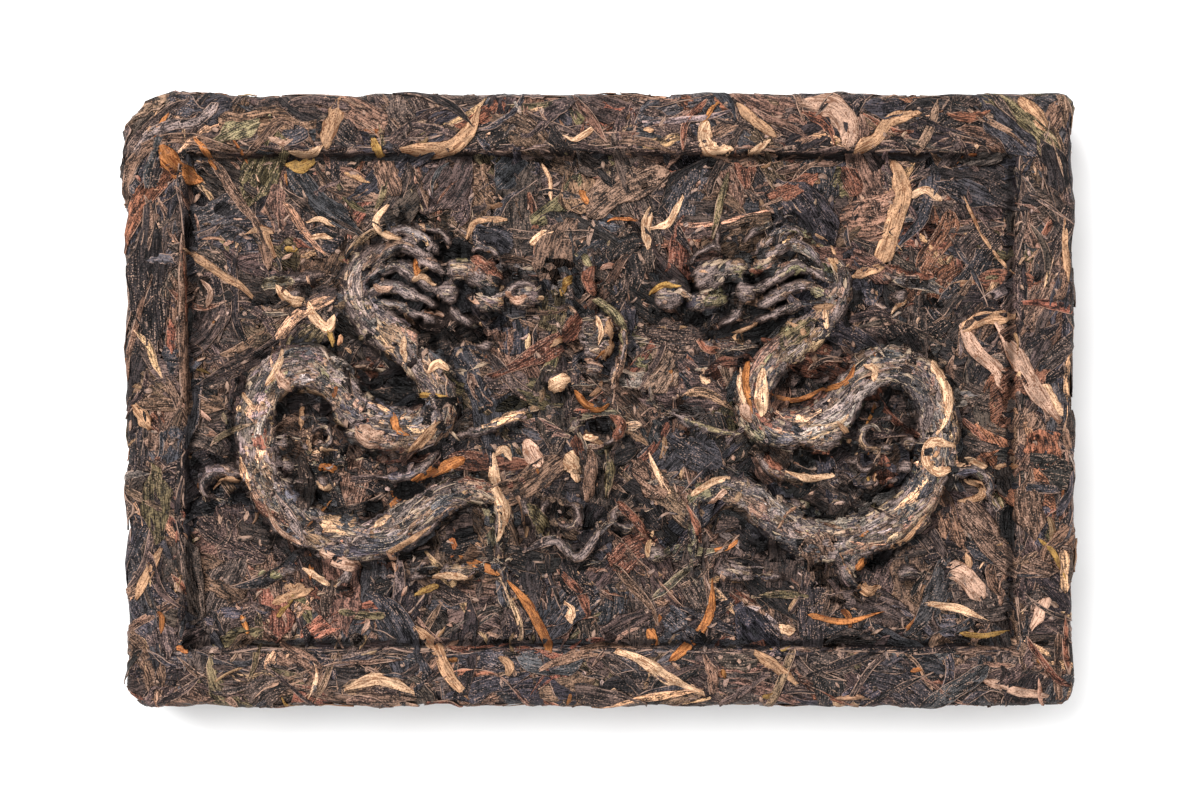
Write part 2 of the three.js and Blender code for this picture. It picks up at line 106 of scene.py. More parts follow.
# The strands of the head, as (half width, rise, points). A pair holds the sizes at the two ends.
HEAD_STRANDS = [
    ((2.4, 1.7), 5, [(38.6, 28), (36, 22.2), (32.1, 19.4), (29.5, 16.6)]),  # jaw
    ((1.2, 0.9), 5.4, [(23.4, 33.6), (25.7, 37.2), (30.2, 38.8), (33.4, 37)]),  # brow ridge
    ((1, 1.3), (5.6, 6), [(13.2, 26.6), (16.6, 29.2), (20.6, 29.2), (24, 26.4), (29, 27.6)]),  # lip
    ((1.1, 0.7), 3, [(14.4, 25), (9.4, 23.2), (6.8, 23.8), (5.6, 20.4)]),  # whisker
    ((1.6, 0.9), (5.6, 3.2), [(35.6, 37.4), (39.4, 42.4), (44.6, 44.4), (48.6, 46.6)]),  # horn
    ((1.3, 0.8), (4.6, 3), [(32, 36), (30.6, 41), (31.4, 45.6)]),  # ear
]
# The locks of the mane, in the same form.
MANE = [
    (1.8, 5.8, [(39.6, 36.8), (44.4, 41.2), (49.6, 43.2), (54.2, 40.8)]),
    (2.3, 7, [(40.8, 34), (45.7, 38), (50.8, 39), (57.4, 34)]),
    (1.3, 6.6, [(38.9, 32.4), (42.4, 34), (47, 35)]),
    (2.3, 7, [(40.6, 27.6), (46.3, 31.6), (51.5, 34.1), (58.8, 30.2)]),
    (2, 6.8, [(40.2, 23.4), (46.3, 26.6), (52.1, 29), (58.8, 26.8)]),
    (1.8, 5.8, [(39.4, 20), (45, 21.6), (50.8, 24.2), (56, 24.8)]),
]
LEGS = [
    [(38.5, -8.8), (31, -8), (24.5, -5.8), (18.5, -3.2), (14, -1)],
    [(40, -12.5), (44, -17.2), (50.5, -19.6), (60.5, -18.8)],
    [(64, -38.5), (63.2, -44.2), (67.5, -48)],
    [(86, -21), (91.5, -18.6), (97.5, -18.4), (100, -22.8), (95, -26.2)],
]
LEG_HALF_WIDTH = (2.3, 1.4)
LEG_RISE = 5
# Paws as (distance, height, heading of the middle claw).
PAWS = [(14, -1, 2.6), (60.5, -18.8, 0.1), (67.5, -48, -0.5), (24.2, -41.8, 3.7)]
CLAWS = 3
CLAW_SPREAD = 1.8  # the angle from the first claw to the last
CLAW_LENGTH = 5.2
CLAW_HALF_WIDTH = (1.1, 0.7)
CLAW_RISE = (3.8, 2.4)
# Cloud scrolls as (distance, height, radius, where the curl starts).
SCROLLS = [(70, -9.2, 2.7, 0.4), (68.6, -15.2, 2.3, 2.2), (7.4, -29.4, 3.1, 1.1)]
SCROLL_HALF_WIDTH = 1.3
SCROLL_RISE = 4.4
CLOUD_BANKS = [
    [(73, -45.4), (79, -43.6), (84, -45.2)],
    [(67, 32.4), (75, 31), (83, 29.8), (91, 27.2)],
    [(77, 22.4), (83, 22.2), (89, 23.6)],
]
BANK_HALF_WIDTH = 2.2
BANK_RISE = 4
# What stands on the mirror line, with distances measured to the right of it: first the rounded masses.
CENTRE_LUMPS = [
    (0, 15.8, 5.4, 6.8, 6.4, 0),  # pearl
    (-9.6, 4.2, 3.6, 2.8, 5, 0.2),
    (15.4, -39, 3.6, 2.8, 4.8, 0.1),
]
# Then the strands, as (half width, rise, points).
CENTRE_STRANDS = [
    (1.7, 4.8, [(-1, 26.4), (-2.4, 30.6), (-2, 34.4), (-1, 38.6)]),  # flames above the pearl
    (1.3, 3.8, [(-6, 25), (-7.6, 29.6), (-9, 33.4)]),
    (1.5, 5.4, [(-1.4, 26), (3.8, 23), (6.8, 17.6), (6.6, 11.4), (4.6, 6), (4, 0.6)]),
    (1.3, 4.4, [(-6.6, 9), (-2.4, 8.2), (2.6, 7.8)]),
    (1.2, 4.2, [(-5.4, 3.2), (-3.4, -0.6), (0.4, -2), (2.6, -0.6)]),
    (1.4, 4.6, [(3, -2.4), (5.6, -4.8), (5.4, -8.6), (1.8, -11), (-2.6, -11)]),  # the ring below it
    (1.3, 4.4, [(-2.4, -3.2), (-5, -6), (-3.8, -9.4)]),
    (2, 4, [(-1.6, -12.6), (-1.2, -18), (-2.6, -26)]),  # its stem
    (1.8, 3.8, [(2.8, -12.6), (3.2, -18), (2.6, -25)]),
    (1.5, 4.6, [(-18.6, -39), (-10.6, -35.4), (-4.8, -40.2), (1, -33.2), (4, -30.8)]),  # clouds at the foot
    (1.4, 4.4, [(5, -26), (10.4, -31), (12.6, -35.4)]),
    (1.7, 4.8, [(-19.5, -25), (-16.6, -29), (-14.8, -35)]),
    (1.3, 4.4, [(-12.4, -25.4), (-14, -29), (-14.8, -33)]),
]
# Dark hollows of the moulding, as (distance, height, half length, half width, depth, turn).
PITS = [
    (25.6, 20.4, 3.4, 1.7, 3, 0.2), (32, 17.6, 4, 2.2, 3.6, 0.3), (41, 17.4, 5.4, 1.4, 3.4, 0.35),
    (49.6, 5, 4.6, 2.6, 3.4, 0.2), (58, 5.8, 3.6, 2.4, 3, 0.4), (56.4, -0.9, 2.8, 0.8, 3, 0),
    (77.6, 0, 4.2, 2, 3.4, 0.2), (71, -1.6, 3, 2.2, 3, 0), (76.6, -14, 0.9, 3.2, 3, 0),
    (77.6, -7.2, 1.8, 0.9, 3, 0.2), (71.8, -17.8, 2.2, 1, 3, 0), (73.2, -24, 5.4, 1.6, 3.2, 0.1),
    (68.6, -15, 1, 1, 3, 0), (90, -24.6, 3.2, 1.6, 3.4, 0), (61, -13, 2.6, 1.2, 3, 0),
    (55, -14.6, 3, 0.9, 3, 0.1), (64, -22.6, 2.4, 1.2, 3, 0),
    (56.8, -27.6, 2, 2.2, 3, 0), (33, -31.6, 4.8, 3.8, 3.4, 0.5), (19.4, -33.6, 2.2, 2.8, 3, 0),
    (43.4, -37.8, 4.4, 1.7, 3, -0.5), (71.6, -41.4, 3, 1.5, 3.4, 0.4), (84.4, 25.2, 3.6, 1, 3, -0.2),
    (9.4, 0.6, 2.4, 1.5, 2.8, 0), (21, -0.6, 2.8, 1.4, 2.8, 0.2), (34.5, 38.6, 1.6, 1.4, 3, 0),
    (8, 13, 1.1, 4, 2.8, 0.1),
]
CENTRE_PIT = (0.6, -6.6, 3.2, 2, 3.6, 0)

# ---- Colours, as linear albedo ----

TINTS = {
    "black": (0.0165, 0.0124, 0.0122),
    "slate": (0.031, 0.0275, 0.031),
    "dark": (0.046, 0.0300, 0.0255),
    "brown": (0.104, 0.058, 0.0385),
    "grey": (0.140, 0.1030, 0.0930),
    "rust": (0.118, 0.0450, 0.0270),
    "olive": (0.080, 0.0590, 0.0300),
    "khaki": (0.140, 0.1120, 0.0600),
    "gold": (0.230, 0.1300, 0.0380),
    "orange": (0.290, 0.1100, 0.0350),
    "tan": (0.300, 0.1700, 0.0960),
    "pink": (0.360, 0.2200, 0.1560),
    "cream": (0.480, 0.3000, 0.1840),
}

DARK_TINTS = ("black", "slate", "dark", "brown", "grey", "rust", "olive", "khaki")
PALE_TINTS = ("gold", "orange", "tan", "pink", "cream")

# Leaves that stand out on the brick, as (tint, width, x, y, x, y, ...) with places along the middle.
MARKED = [
    # Top rim, from left to right.
    ("slate", 5, -111, 74, -105.5, 74.4, -100.5, 73.4), ("khaki", 6.4, -97.5, 65.4, -91, 69, -83.3, 72),
    ("brown", 2.6, -120.5, 49.5, -117.8, 61, -111.4, 65.8, -104.6, 66.4, -97.8, 64.6, -91, 63.4),
    ("grey", 2.6, -118.4, 62.6, -114.6, 66.8, -108, 70, -102.5, 70.2, -99.8, 72.2, -96.6, 75),
    ("dark", 3, -120.4, 56, -116.4, 66.4, -110, 72, -103.6, 76.2),
    ("tan", 1.5, -114.8, 67.8, -112.4, 73, -110.4, 75),
    ("orange", 1.2, -113, 66.6, -110.6, 71, -108.8, 73.6),
    ("brown", 2.8, -91, 61.6, -86, 65.4, -81.5, 70.4, -77.5, 70, -72.4, 64.7),
    ("slate", 4.6, -81, 67, -77.6, 66.8, -74.4, 68.6), ("pink", 1.6, -84, 66.6, -80, 65.2, -76.6, 68),
    ("tan", 3.6, -66, 76.5, -67.5, 71, -70, 64.5), ("cream", 1.8, -79, 63.2, -74, 62.6, -70, 64.6),
    ("gold", 2.2, -58, 66, -56.5, 64, -55.5, 61.5),
    ("tan", 3.4, -50.5, 63.5, -40, 63.5, -33, 68, -30.5, 74), ("cream", 1.5, -9.5, 67, -6, 66, -1, 69.5),
    ("cream", 3.4, 27.5, 70.5, 26.4, 66.5, 28.6, 63.4, 33.5, 64),
    ("cream", 1.8, 37.5, 62.6, 40.5, 64, 43, 66), ("rust", 1.8, 21, 63.5, 21.6, 70, 27, 76),
    ("tan", 2.6, 34.5, 75, 40, 70, 44.5, 66.5), ("pink", 6.4, 50.5, 75.4, 59, 74, 63, 69, 62, 64),
    ("rust", 2.6, 51, 73, 57, 70, 59.6, 64.5), ("tan", 3.4, 64.5, 63.5, 70, 66.5, 74, 71, 81, 73),
    ("tan", 4.2, 106, 76.5, 109.5, 72.5, 113, 68), ("slate", 7, 96.5, 74.5, 103.5, 67, 110, 61.5),
    ("black", 6, 111.5, 66, 115, 60, 116.6, 52),
    # Left rim.
    ("orange", 4.2, -111.6, 64, -108.5, 60, -104.6, 56.6, -101.6, 55.4),
    ("black", 9, -114, 50, -114.4, 32, -113.5, 13), ("brown", 2.4, -106, 42, -105.5, 19, -104.5, -3.5),
    ("rust", 1.4, -106.4, 40, -105.6, 30, -105.2, 20), ("olive", 7, -112.5, -16.5, -112, -26, -111.5, -36),
    ("tan", 3.2, -118, -1, -116, -4, -114, -7.5), ("tan", 2.2, -117.5, -50.5, -114.5, -44, -111, -37.5),
    # Left of the panel.
    ("brown", 2.6, -99.8, 62.2, -96, 57, -92.4, 51.6, -85.9, 42.7),
    ("orange", 1.7, -103, 66.4, -100.6, 63.8, -98.4, 60.4, -94.6, 54.6),
    ("brown", 3.4, -88.5, 47.5, -85.5, 40.5, -84, 33.5), ("gold", 3.2, -80.5, 60, -76, 59.5, -72.6, 61.6),
    ("tan", 2.2, -106, 38.5, -97, 32.5, -91, 28.6, -85.6, 23),
    ("cream", 2.4, -82.5, 29.6, -79.5, 26, -75.2, 24.8),
    ("cream", 2.4, -74.4, 24.8, -72.6, 20.6, -69.4, 18.4, -67.4, 21.4),
    ("gold", 1.4, -69.4, 18, -68.4, 16, -68, 13.6),
    ("cream", 1.8, -53.8, 49.8, -57, 45.6, -55.4, 42.6, -50.4, 40.6),
    ("cream", 1.5, -74.8, 45.2, -71.2, 46, -67.4, 44.2), ("cream", 1.4, -73.8, 41.2, -71, 41.7, -68, 41),
    ("tan", 2, -86, 44.6, -84.6, 40, -83, 36), ("tan", 1.6, -90.4, 42.2, -86.4, 43.6, -83, 42.4),
    ("tan", 1.5, -34, 40.8, -31.4, 45.4, -23.6, 46), ("slate", 7, -32, 42, -27, 41, -22.4, 38.6),
    ("rust", 2.6, -34.2, 37.4, -29.5, 34, -24.6, 30.8), ("cream", 1.8, -17.6, 39.4, -15, 42, -11.8, 43),
    # Top of the panel.
    ("orange", 1.6, -5, 53.5, -4, 51.5, -3, 50), ("cream", 2.8, 12.4, 38.4, 11.8, 44, 13, 49),
    ("cream", 2, 12.8, 43.6, 17, 44.8, 19.4, 48.4, 21.2, 52),
    ("olive", 1.8, 32.6, 58, 30.4, 49.5, 28.6, 41), ("rust", 4.6, 43, 51.4, 49, 53.6, 55.5, 57),
    ("rust", 5, 62, 59.4, 64, 56, 66, 52.5), ("brown", 1.5, 40.5, 49, 47, 52, 51, 58, 56, 61),
    ("tan", 4.6, 74.6, 61, 76.8, 53, 74.6, 44, 71.2, 34.8), ("tan", 2.2, 73.4, 34.2, 69, 33.2, 64, 31.2),
    ("rust", 2.4, 73, 34, 79, 32.6, 85, 31.4), ("cream", 1.8, 78.6, 51.6, 83, 53.4, 86.8, 50.6),
    ("slate", 6, 85, 55.5, 93.5, 53, 102.5, 49.5), ("tan", 0.9, 92.6, 52, 96, 44, 100, 38, 105.4, 32),
    # Right of the panel.
    ("tan", 3.4, 91.8, 17.4, 97, 20.6, 105.4, 21.2),
    ("pink", 3.2, 91.6, 19.4, 95.4, 13, 100.6, 8, 103.6, 2),
    ("pink", 4, 101, 20, 105.4, 12, 110.4, 2.6, 116.6, -5.6), ("cream", 2.6, 112, 4, 114.6, 0, 117, -4),
    ("rust", 1.8, 92, -4.5, 95, -7.5, 98.5, -10.5), ("cream", 1.7, 90.5, -16.8, 94, -15.3, 98, -17.2),
    ("tan", 1.8, 100.5, -17, 103, -17, 106, -16.5), ("olive", 4, 101.5, -22.5, 101.5, -25.5, 102, -28),
    ("tan", 1.7, 92.6, -20.3, 96.8, -21.8, 96.6, -24.6, 91.4, -25.8),
    ("grey", 2, 97, -22.5, 100, -26, 102, -29),
    # Right rim.
    ("brown", 7, 109, -17.5, 108.5, -26.5, 110, -35.5), ("tan", 1.8, 117.6, 46, 117.8, 38, 118.4, 30),
    ("gold", 1.4, 111, -35, 115, -39, 118, -45.5), ("pink", 3, 109, -58, 111, -54.5, 113, -50),
    ("pink", 2.2, 97, -71, 105, -73.5, 113.5, -75),
    # Bottom right of the panel.
    ("pink", 4.6, 88, -42.6, 92.4, -44.4, 97.6, -50.8), ("tan", 1.8, 93, -39, 94, -41.4, 93.6, -43.6),
    ("cream", 2, 82.5, -52, 90.5, -53, 99, -56.4), ("gold", 1.4, 91.5, -59.4, 97.5, -60, 104.5, -58.6),
    # Bottom rim and above it.
    ("tan", 3.2, -47.5, -57.5, -41.6, -63, -38.4, -69.4, -33, -75.6),
    ("cream", 3, -64.5, -73, -56, -70.6, -47, -74), ("cream", 3.6, 4, -63.6, 11, -66, 18, -71, 26.5, -74.4),
    ("orange", 2.4, 28.6, -45.4, 28, -54, 24, -61, 17.4, -66),
    ("orange", 2.4, -24, -45.5, -18.4, -52, -14.6, -59, -12.4, -64),
    ("rust", 2.6, -11, -43, -5.5, -48.4, -2.5, -55), ("cream", 2.4, -9.2, -51.6, -7.4, -53.6, -8, -56.4),
    ("cream", 2.6, 45.5, -57.5, 47.5, -58.5, 49.5, -59),
    ("tan", 2.4, -25.5, -65, -23.5, -66.5, -22.5, -69.5),
    ("orange", 2.4, 12, -58.4, 13.4, -60.4, 13, -62.4), ("tan", 3, 39, -64, 44.5, -67.5, 50, -72),
    ("olive", 5, -98.5, -62, -92, -60.5, -85.5, -58.5), ("rust", 1.8, -108.5, -44, -106, -47, -104, -50.5),
    ("tan", 2.2, -83.5, -51.6, -78.5, -49.8, -73, -48), ("olive", 2, 38.5, -50.2, 46, -49.4, 53, -50),
    ("orange", 1.5, 52.8, -54.6, 62, -56.4, 72.4, -53.8),
    ("olive", 2, -66.4, -54.2, -60, -54.8, -54.8, -55.3),
    ("gold", 1.6, -47.2, -49.6, -44, -48.2, -41.2, -47),
    # The left dragon.
    ("orange", 2.8, -53, -27, -47, -20.6, -41.6, -18, -34.6, -14.6),
    ("tan", 2.4, -48.6, -14.2, -44.6, -10, -40.6, -5.4), ("gold", 1.3, -49, 2, -44, 1.2, -38.8, 1),
    ("tan", 1.2, -76, -2, -75.8, -5, -76.4, -8),
    ("cream", 1.3, -74.4, -7.8, -73.4, -13, -70.2, -12.4, -66.8, -12.8),
    ("orange", 1.5, -71.4, -17, -69, -17.2, -66.2, -17.8),
    ("cream", 1.7, -71.8, -21, -69.6, -22, -67.6, -21.4),
    ("orange", 1.8, -52.4, -3.2, -51.2, -7.8, -48.2, -8.8),
    ("pink", 4.4, -61.6, -6.4, -58, -9.6, -54.4, -8.2), ("cream", 2.2, -43.6, 7, -41.2, 9.2, -38.6, 7.6),
    ("cream", 1.6, -49.6, 16.2, -49.8, 13, -49.2, 9.6), ("cream", 1.6, -80.4, 12.6, -81.6, 8, -84.6, 3.6),
    ("pink", 2.6, -82, 8, -80.6, 5, -78.4, 3), ("cream", 1.3, -90.6, 1.8, -89, -0.5, -87.2, -2.6),
    ("pink", 1.5, -57.2, 28.9, -55, 28, -52.4, 28.6), ("cream", 1.2, -47.4, 30.2, -45, 31.2, -41.4, 29),
    ("orange", 1.3, -46.8, 35.8, -46.6, 33.5, -46.2, 31.3),
    ("pink", 1.3, -45, 22.9, -42.5, 22.4, -39.6, 21.6), ("pink", 2.2, -24, 27.4, -21, 25.4, -18.6, 26.4),
    ("cream", 3.6, -27, -13.4, -26.6, -22, -24.2, -28.8, -26, -36),
    ("cream", 1.8, -27, -14.4, -24.4, -12.6, -22.6, -15.4),
    ("cream", 2.2, -57, -32.4, -55, -30.4, -52.8, -29.4), ("tan", 1.4, -53.8, -38.6, -49, -36, -43, -32),
    ("cream", 1.2, -70.2, -33.6, -68.4, -32, -66.8, -32), ("grey", 2.4, -82, -24, -77.5, -31, -74, -36.4),
    ("pink", 1.1, -85, -25.7, -81.4, -32.6, -75.6, -36.4),
    ("pink", 3.4, -71, -38.6, -66.4, -40.8, -60.8, -42.6),
    ("cream", 1.5, -76.4, -42.4, -71.2, -45.6, -66.8, -47.4),
    ("tan", 2.4, -80.6, -45.6, -78, -48.4, -75.4, -47), ("gold", 1.3, -78, -49.5, -80, -52.5, -82.1, -55.3),
    ("tan", 1.5, -98.6, -23, -96.2, -20.4, -90.6, -20.4),
    ("cream", 1.6, -42.6, -45, -38, -44.4, -33.6, -45), ("orange", 2, -35.8, -40, -30.6, -42, -25.6, -44.5),
    # Round the pearl.
    ("pink", 4.4, -19, -10, -17.4, -13.5, -15.2, -17), ("cream", 4.4, -9, -14, -6.4, -17, -6, -21),
    ("olive", 3, -18.5, -26.5, -15, -31, -13, -35.5), ("cream", 3.8, -13.6, 2.6, -10.6, 4.4, -7, 5),
    ("pink", 1.5, -8, 9.4, -3, 10, 1.8, 8), ("cream", 1.3, -1, 21, 0.2, 17.6, -0.4, 14),
    ("cream", 1.1, -7, 18, -5.2, 21, -2.6, 23.2), ("khaki", 2.4, -2, 25.8, 3, 22.4, 5.6, 17.6, 5.4, 11),
    ("tan", 2.8, 1.6, 19.8, 2.8, 15.6, 0.6, 10.8), ("brown", 1.8, 5.6, 14, 4.8, 7, 3.2, -1),
    ("orange", 1.7, -6.3, 2.6, -3.6, -1.2, -0.1, -2.4, 2.2, -0.9),
    ("cream", 1.5, -4.4, -9.2, -2.4, -9.8, -0.4, -9.6), ("tan", 1.6, -12.8, 13.4, -10, 15.4, -7.2, 14.6),
    ("khaki", 1.8, -6.6, 37.2, -3.8, 36, -2.6, 33.6), ("gold", 1.8, -10, 26.6, -8.6, 29.8, -6.4, 31.8),
    ("rust", 2.6, -1.6, 26.6, -3, 30, -2.8, 33.6), ("brown", 2.2, -2.6, -12, -2.2, -18, -3.4, -25.6),
    ("olive", 2.2, 1.6, -12.4, 2.4, -18, 1.6, -24.6),
    ("grey", 2, -19.6, -38.8, -11.6, -35.4, -5.8, -40, 0, -33.4),
    ("rust", 2, 3.8, -25.4, 9.4, -30.8, 11.8, -35.2), ("rust", 1.8, 2.6, -3.6, 5.4, -6.4, 3.6, -10.4),
    ("slate", 9, 17.6, -9.6, 25, -14, 32, -18),
    # The right dragon.
    ("cream", 1.6, 25.4, 6.2, 26.5, 5, 28, 4.4), ("gold", 1.2, 12.4, 26.8, 15.8, 28.9, 20.4, 28.8),
    ("rust", 1.4, 38, 32.8, 42, 32.8, 45.6, 34), ("rust", 1.8, 25, 15.6, 27.2, 13, 30.8, 13),
    ("olive", 5, 45.6, 14.6, 49.6, 17.2, 54, 20.6), ("tan", 1.3, 47.8, 19.8, 51, 17.6, 52.4, 14.8),
    ("tan", 1, 53.2, 43, 58.3, 39.7, 60.3, 34.4), ("cream", 1.3, 57, 23, 57.2, 20.4, 57.6, 18.2),
    ("cream", 3, 41.4, 8, 40.8, 2.2, 41, -4.2), ("orange", 1.8, 37.8, 10.4, 37, 4, 38.6, -3.4),
    ("cream", 1.1, 35.6, 9.4, 35.4, 4, 37, -1.6), ("pink", 2.4, 36.4, 0, 37.2, -3, 38.4, -5.6),
    ("orange", 1.3, 42.6, 1.8, 49, -0.1, 57.6, 2.6, 62.4, 4.6, 64.8, 9),
    ("brown", 1.3, 53, 7.8, 57.6, 10.4, 64.6, 9.6), ("cream", 1.7, 66.8, 8.8, 69.4, 7.8, 69.4, 4.6),
    ("cream", 2.6, 84, 9.6, 87.8, 3, 87.4, -4.6, 85.2, -8.8),
    ("cream", 2.6, 89.8, -11.6, 84.4, -10.8, 82.8, -14.8, 85.2, -18.2, 88.8, -17.2),
    ("grey", 2.4, 82.8, 2, 83.4, -3, 82.4, -7.6), ("tan", 1.7, 60, -5.4, 62.8, -8.7, 63.6, -11),
    ("rust", 2.8, 42, -13.2, 43.6, -15.7, 45.8, -17.8), ("rust", 2, 53.6, -13.4, 57, -13.2, 60.4, -14),
    ("cream", 1.4, 46.8, -18.2, 52.3, -19.8, 59.8, -19.2),
    ("tan", 1.4, 70.2, -16.4, 70.4, -18.6, 69.6, -20.6),
    ("cream", 1.6, 12.4, -13.4, 14.6, -18.7, 17.8, -24),
    ("cream", 1.5, 23.4, -24.6, 27.6, -21.4, 33.6, -19.6), ("pink", 1.7, 27, -27, 29.6, -25, 32, -22.8),
    ("rust", 1.5, 21.8, -25.6, 24.2, -31.4, 25.6, -36.6), ("tan", 1.1, 71.6, -38.2, 77.8, -35, 82.6, -28.8),
    ("orange", 1.8, 65, -43, 66.8, -41, 68.6, -40.6), ("tan", 2.6, 65.8, -46.8, 68.6, -48.6, 71.4, -47.4),
]


# ---- Curves and fields ----


def half_sizes(inset):
    return HALF_LENGTH - inset, HALF_WIDTH - inset


def curve(points, count):
    """Points along a smooth curve through the given ones."""
    p = np.asarray(points, float)
    p = np.vstack([2 * p[0] - p[1], p, 2 * p[-1] - p[-2]])
    t = np.linspace(0, len(points) - 1, count)
    i = np.minimum(t.astype(int), len(points) - 2)
    f = (t - i)[:, None]
    a, b, c, d = p[i], p[i + 1], p[i + 2], p[i + 3]
    return 0.5 * (2 * b + (c - a) * f + (2 * a - 5 * b + 4 * c - d) * f**2 + (3 * b - a - 3 * c + d) * f**3)


def distance_along(points):
    """How far along a chain of points each one lies."""
    return np.concatenate([[0], np.cumsum(np.hypot(*np.diff(points, axis=0).T))])


def smoothstep(x, low, high):
    t = np.clip((x - low) / (high - low), 0, 1)
    return t * t * (3 - 2 * t)


def ripples(x, y, size, seed, waves=18):
    """Smooth lumps between about -1 and 1, of that size across, from plane waves in random directions."""
    own_rng = np.random.default_rng(seed)
    total = np.zeros(np.broadcast(x, y).shape)
    for _ in range(waves):
        angle, phase = own_rng.uniform(0, 2 * math.pi, 2)
        number = 2 * math.pi / (size * own_rng.uniform(0.7, 1.6))
        total += np.sin(number * (x * math.cos(angle) + y * math.sin(angle)) + phase)
    return total / math.sqrt(waves)


PITCH = 0.5
GRID_X, GRID_Y = np.meshgrid(
    np.arange(-HALF_LENGTH, HALF_LENGTH + PITCH, PITCH), np.arange(-HALF_WIDTH, HALF_WIDTH + PITCH, PITCH)
)


def grid_ripples(size, seed):
    return ripples(GRID_X, GRID_Y, size, seed)


def sample(field, x, y):
    """A field's value between its grid points."""
    fx = np.clip((x + HALF_LENGTH) / PITCH, 0, field.shape[1] - 1.001)
    fy = np.clip((y + HALF_WIDTH) / PITCH, 0, field.shape[0] - 1.001)
    i, j = fx.astype(int), fy.astype(int)
    u, v = fx - i, fy - j
    low = field[j, i] * (1 - u) + field[j, i + 1] * u
    high = field[j + 1, i] * (1 - u) + field[j + 1, i + 1] * u
    return low * (1 - v) + high * v


def blurred(field, radius):
    """A field smoothed over a radius in millimetres."""
    reach = int(3 * radius / PITCH)
    kernel = np.exp(-0.5 * (np.arange(-reach, reach + 1) * PITCH / radius) ** 2)
    kernel /= kernel.sum()
    for axis in (0, 1):
        padding = [(reach, reach) if a == axis else (0, 0) for a in (0, 1)]
        padded = np.pad(field, padding, mode="edge")
        field = np.apply_along_axis(lambda line: np.convolve(line, kernel, "valid"), axis, padded)
    return field


# ---- The relief, as a height above the panel and a direction of growth ----

relief = np.zeros(GRID_X.shape)
growth = np.zeros(GRID_X.shape)  # the heading of what stands there
along = GRID_X.copy()  # how far along its own length a place lies, and how far to the side
aside = GRID_Y.copy()
girth = np.full(GRID_X.shape, 8.0)  # half the width of what stands there


def across(points, side):
    return [(MIRROR_X + side * a, b) for a, b in points]


def raise_where(window, height, heading, run, side, reach):
    """Writes a form into the fields where it is higher than what is there."""
    higher = height > relief[window]
    for field, values in ((relief, height), (growth, heading), (along, run), (aside, side), (girth, reach)):
        field[window][higher] = np.broadcast_to(values, height.shape)[higher]


def window_round(xs, ys, margin):
    """The part of the grid that holds some points and a margin round them."""
    rows = GRID_Y[:, 0]
    columns = GRID_X[0]
    j = np.nonzero((rows > min(ys) - margin) & (rows < max(ys) + margin))[0]
    i = np.nonzero((columns > min(xs) - margin) & (columns < max(xs) + margin))[0]
    return slice(j[0], j[-1] + 1), slice(i[0], i[-1] + 1)


def strand(points, half_width, rise, bluntness=0.45):
    """Raises a round-ended strand of elliptical section. half_width and rise may change along it."""
    count = 12 * len(points)
    path = curve(points, count)
    t = np.linspace(0, 1, count)
    taper = np.sin(math.pi * np.clip(t, 0.002, 0.998)) ** bluntness
    half_width, rise = (
        np.interp(t, np.linspace(0, 1, np.size(value)), np.atleast_1d(value)) * taper
        for value in (half_width, rise)
    )
    steps = np.gradient(path, axis=0)
    window = window_round(path[:, 0], path[:, 1], half_width.max() + 1)
    dx = GRID_X[window][..., None] - path[:, 0]
    dy = GRID_Y[window][..., None] - path[:, 1]
    reach = np.hypot(dx, dy) / half_width
    nearest = reach.argmin(-1)
    closest = np.minimum(np.take_along_axis(reach, nearest[..., None], -1)[..., 0], 1)
    height = rise[nearest] * (1 - closest**2.6) ** 0.5 - BURIED
    heading = np.arctan2(steps[:, 1], steps[:, 0])[nearest]
    run = distance_along(path)[nearest]
    off_x, off_y = GRID_X[window] - path[nearest, 0], GRID_Y[window] - path[nearest, 1]
    off_line = off_y * np.cos(heading) - off_x * np.sin(heading)
    raise_where(window, height, heading, run, off_line, half_width[nearest])


def ellipse(x, y, half_length, half_width, turn):
    """How far out the window's grid points lie, as a share of an ellipse's radius, with the window."""
    window = window_round([x], [y], max(half_length, half_width) + 1)
    dx, dy = GRID_X[window] - x, GRID_Y[window] - y
    u = dx * math.cos(turn) + dy * math.sin(turn)
    v = dy * math.cos(turn) - dx * math.sin(turn)
    return window, np.hypot(u / half_length, v / half_width), u, v


def lump(row, side):
    """Raises a rounded mass with an oval foot."""
    a, b, half_length, half_width, rise, turn = row
    window, out, u, v = ellipse(MIRROR_X + side * a, b, half_length, half_width, side * turn)
    raise_where(window, rise * (1 - np.minimum(out, 1) ** 2.4) ** 0.5 - BURIED, side * turn, u, v, half_width)


def scroll(row, side):
    """Raises a strand that runs nearly once round."""
    a, b, radius, start = row
    points = [(a + radius * math.cos(start + k), b + radius * math.sin(start + k)) for k in range(6)]
    strand(across(points, side), SCROLL_HALF_WIDTH, SCROLL_RISE, 0.3)


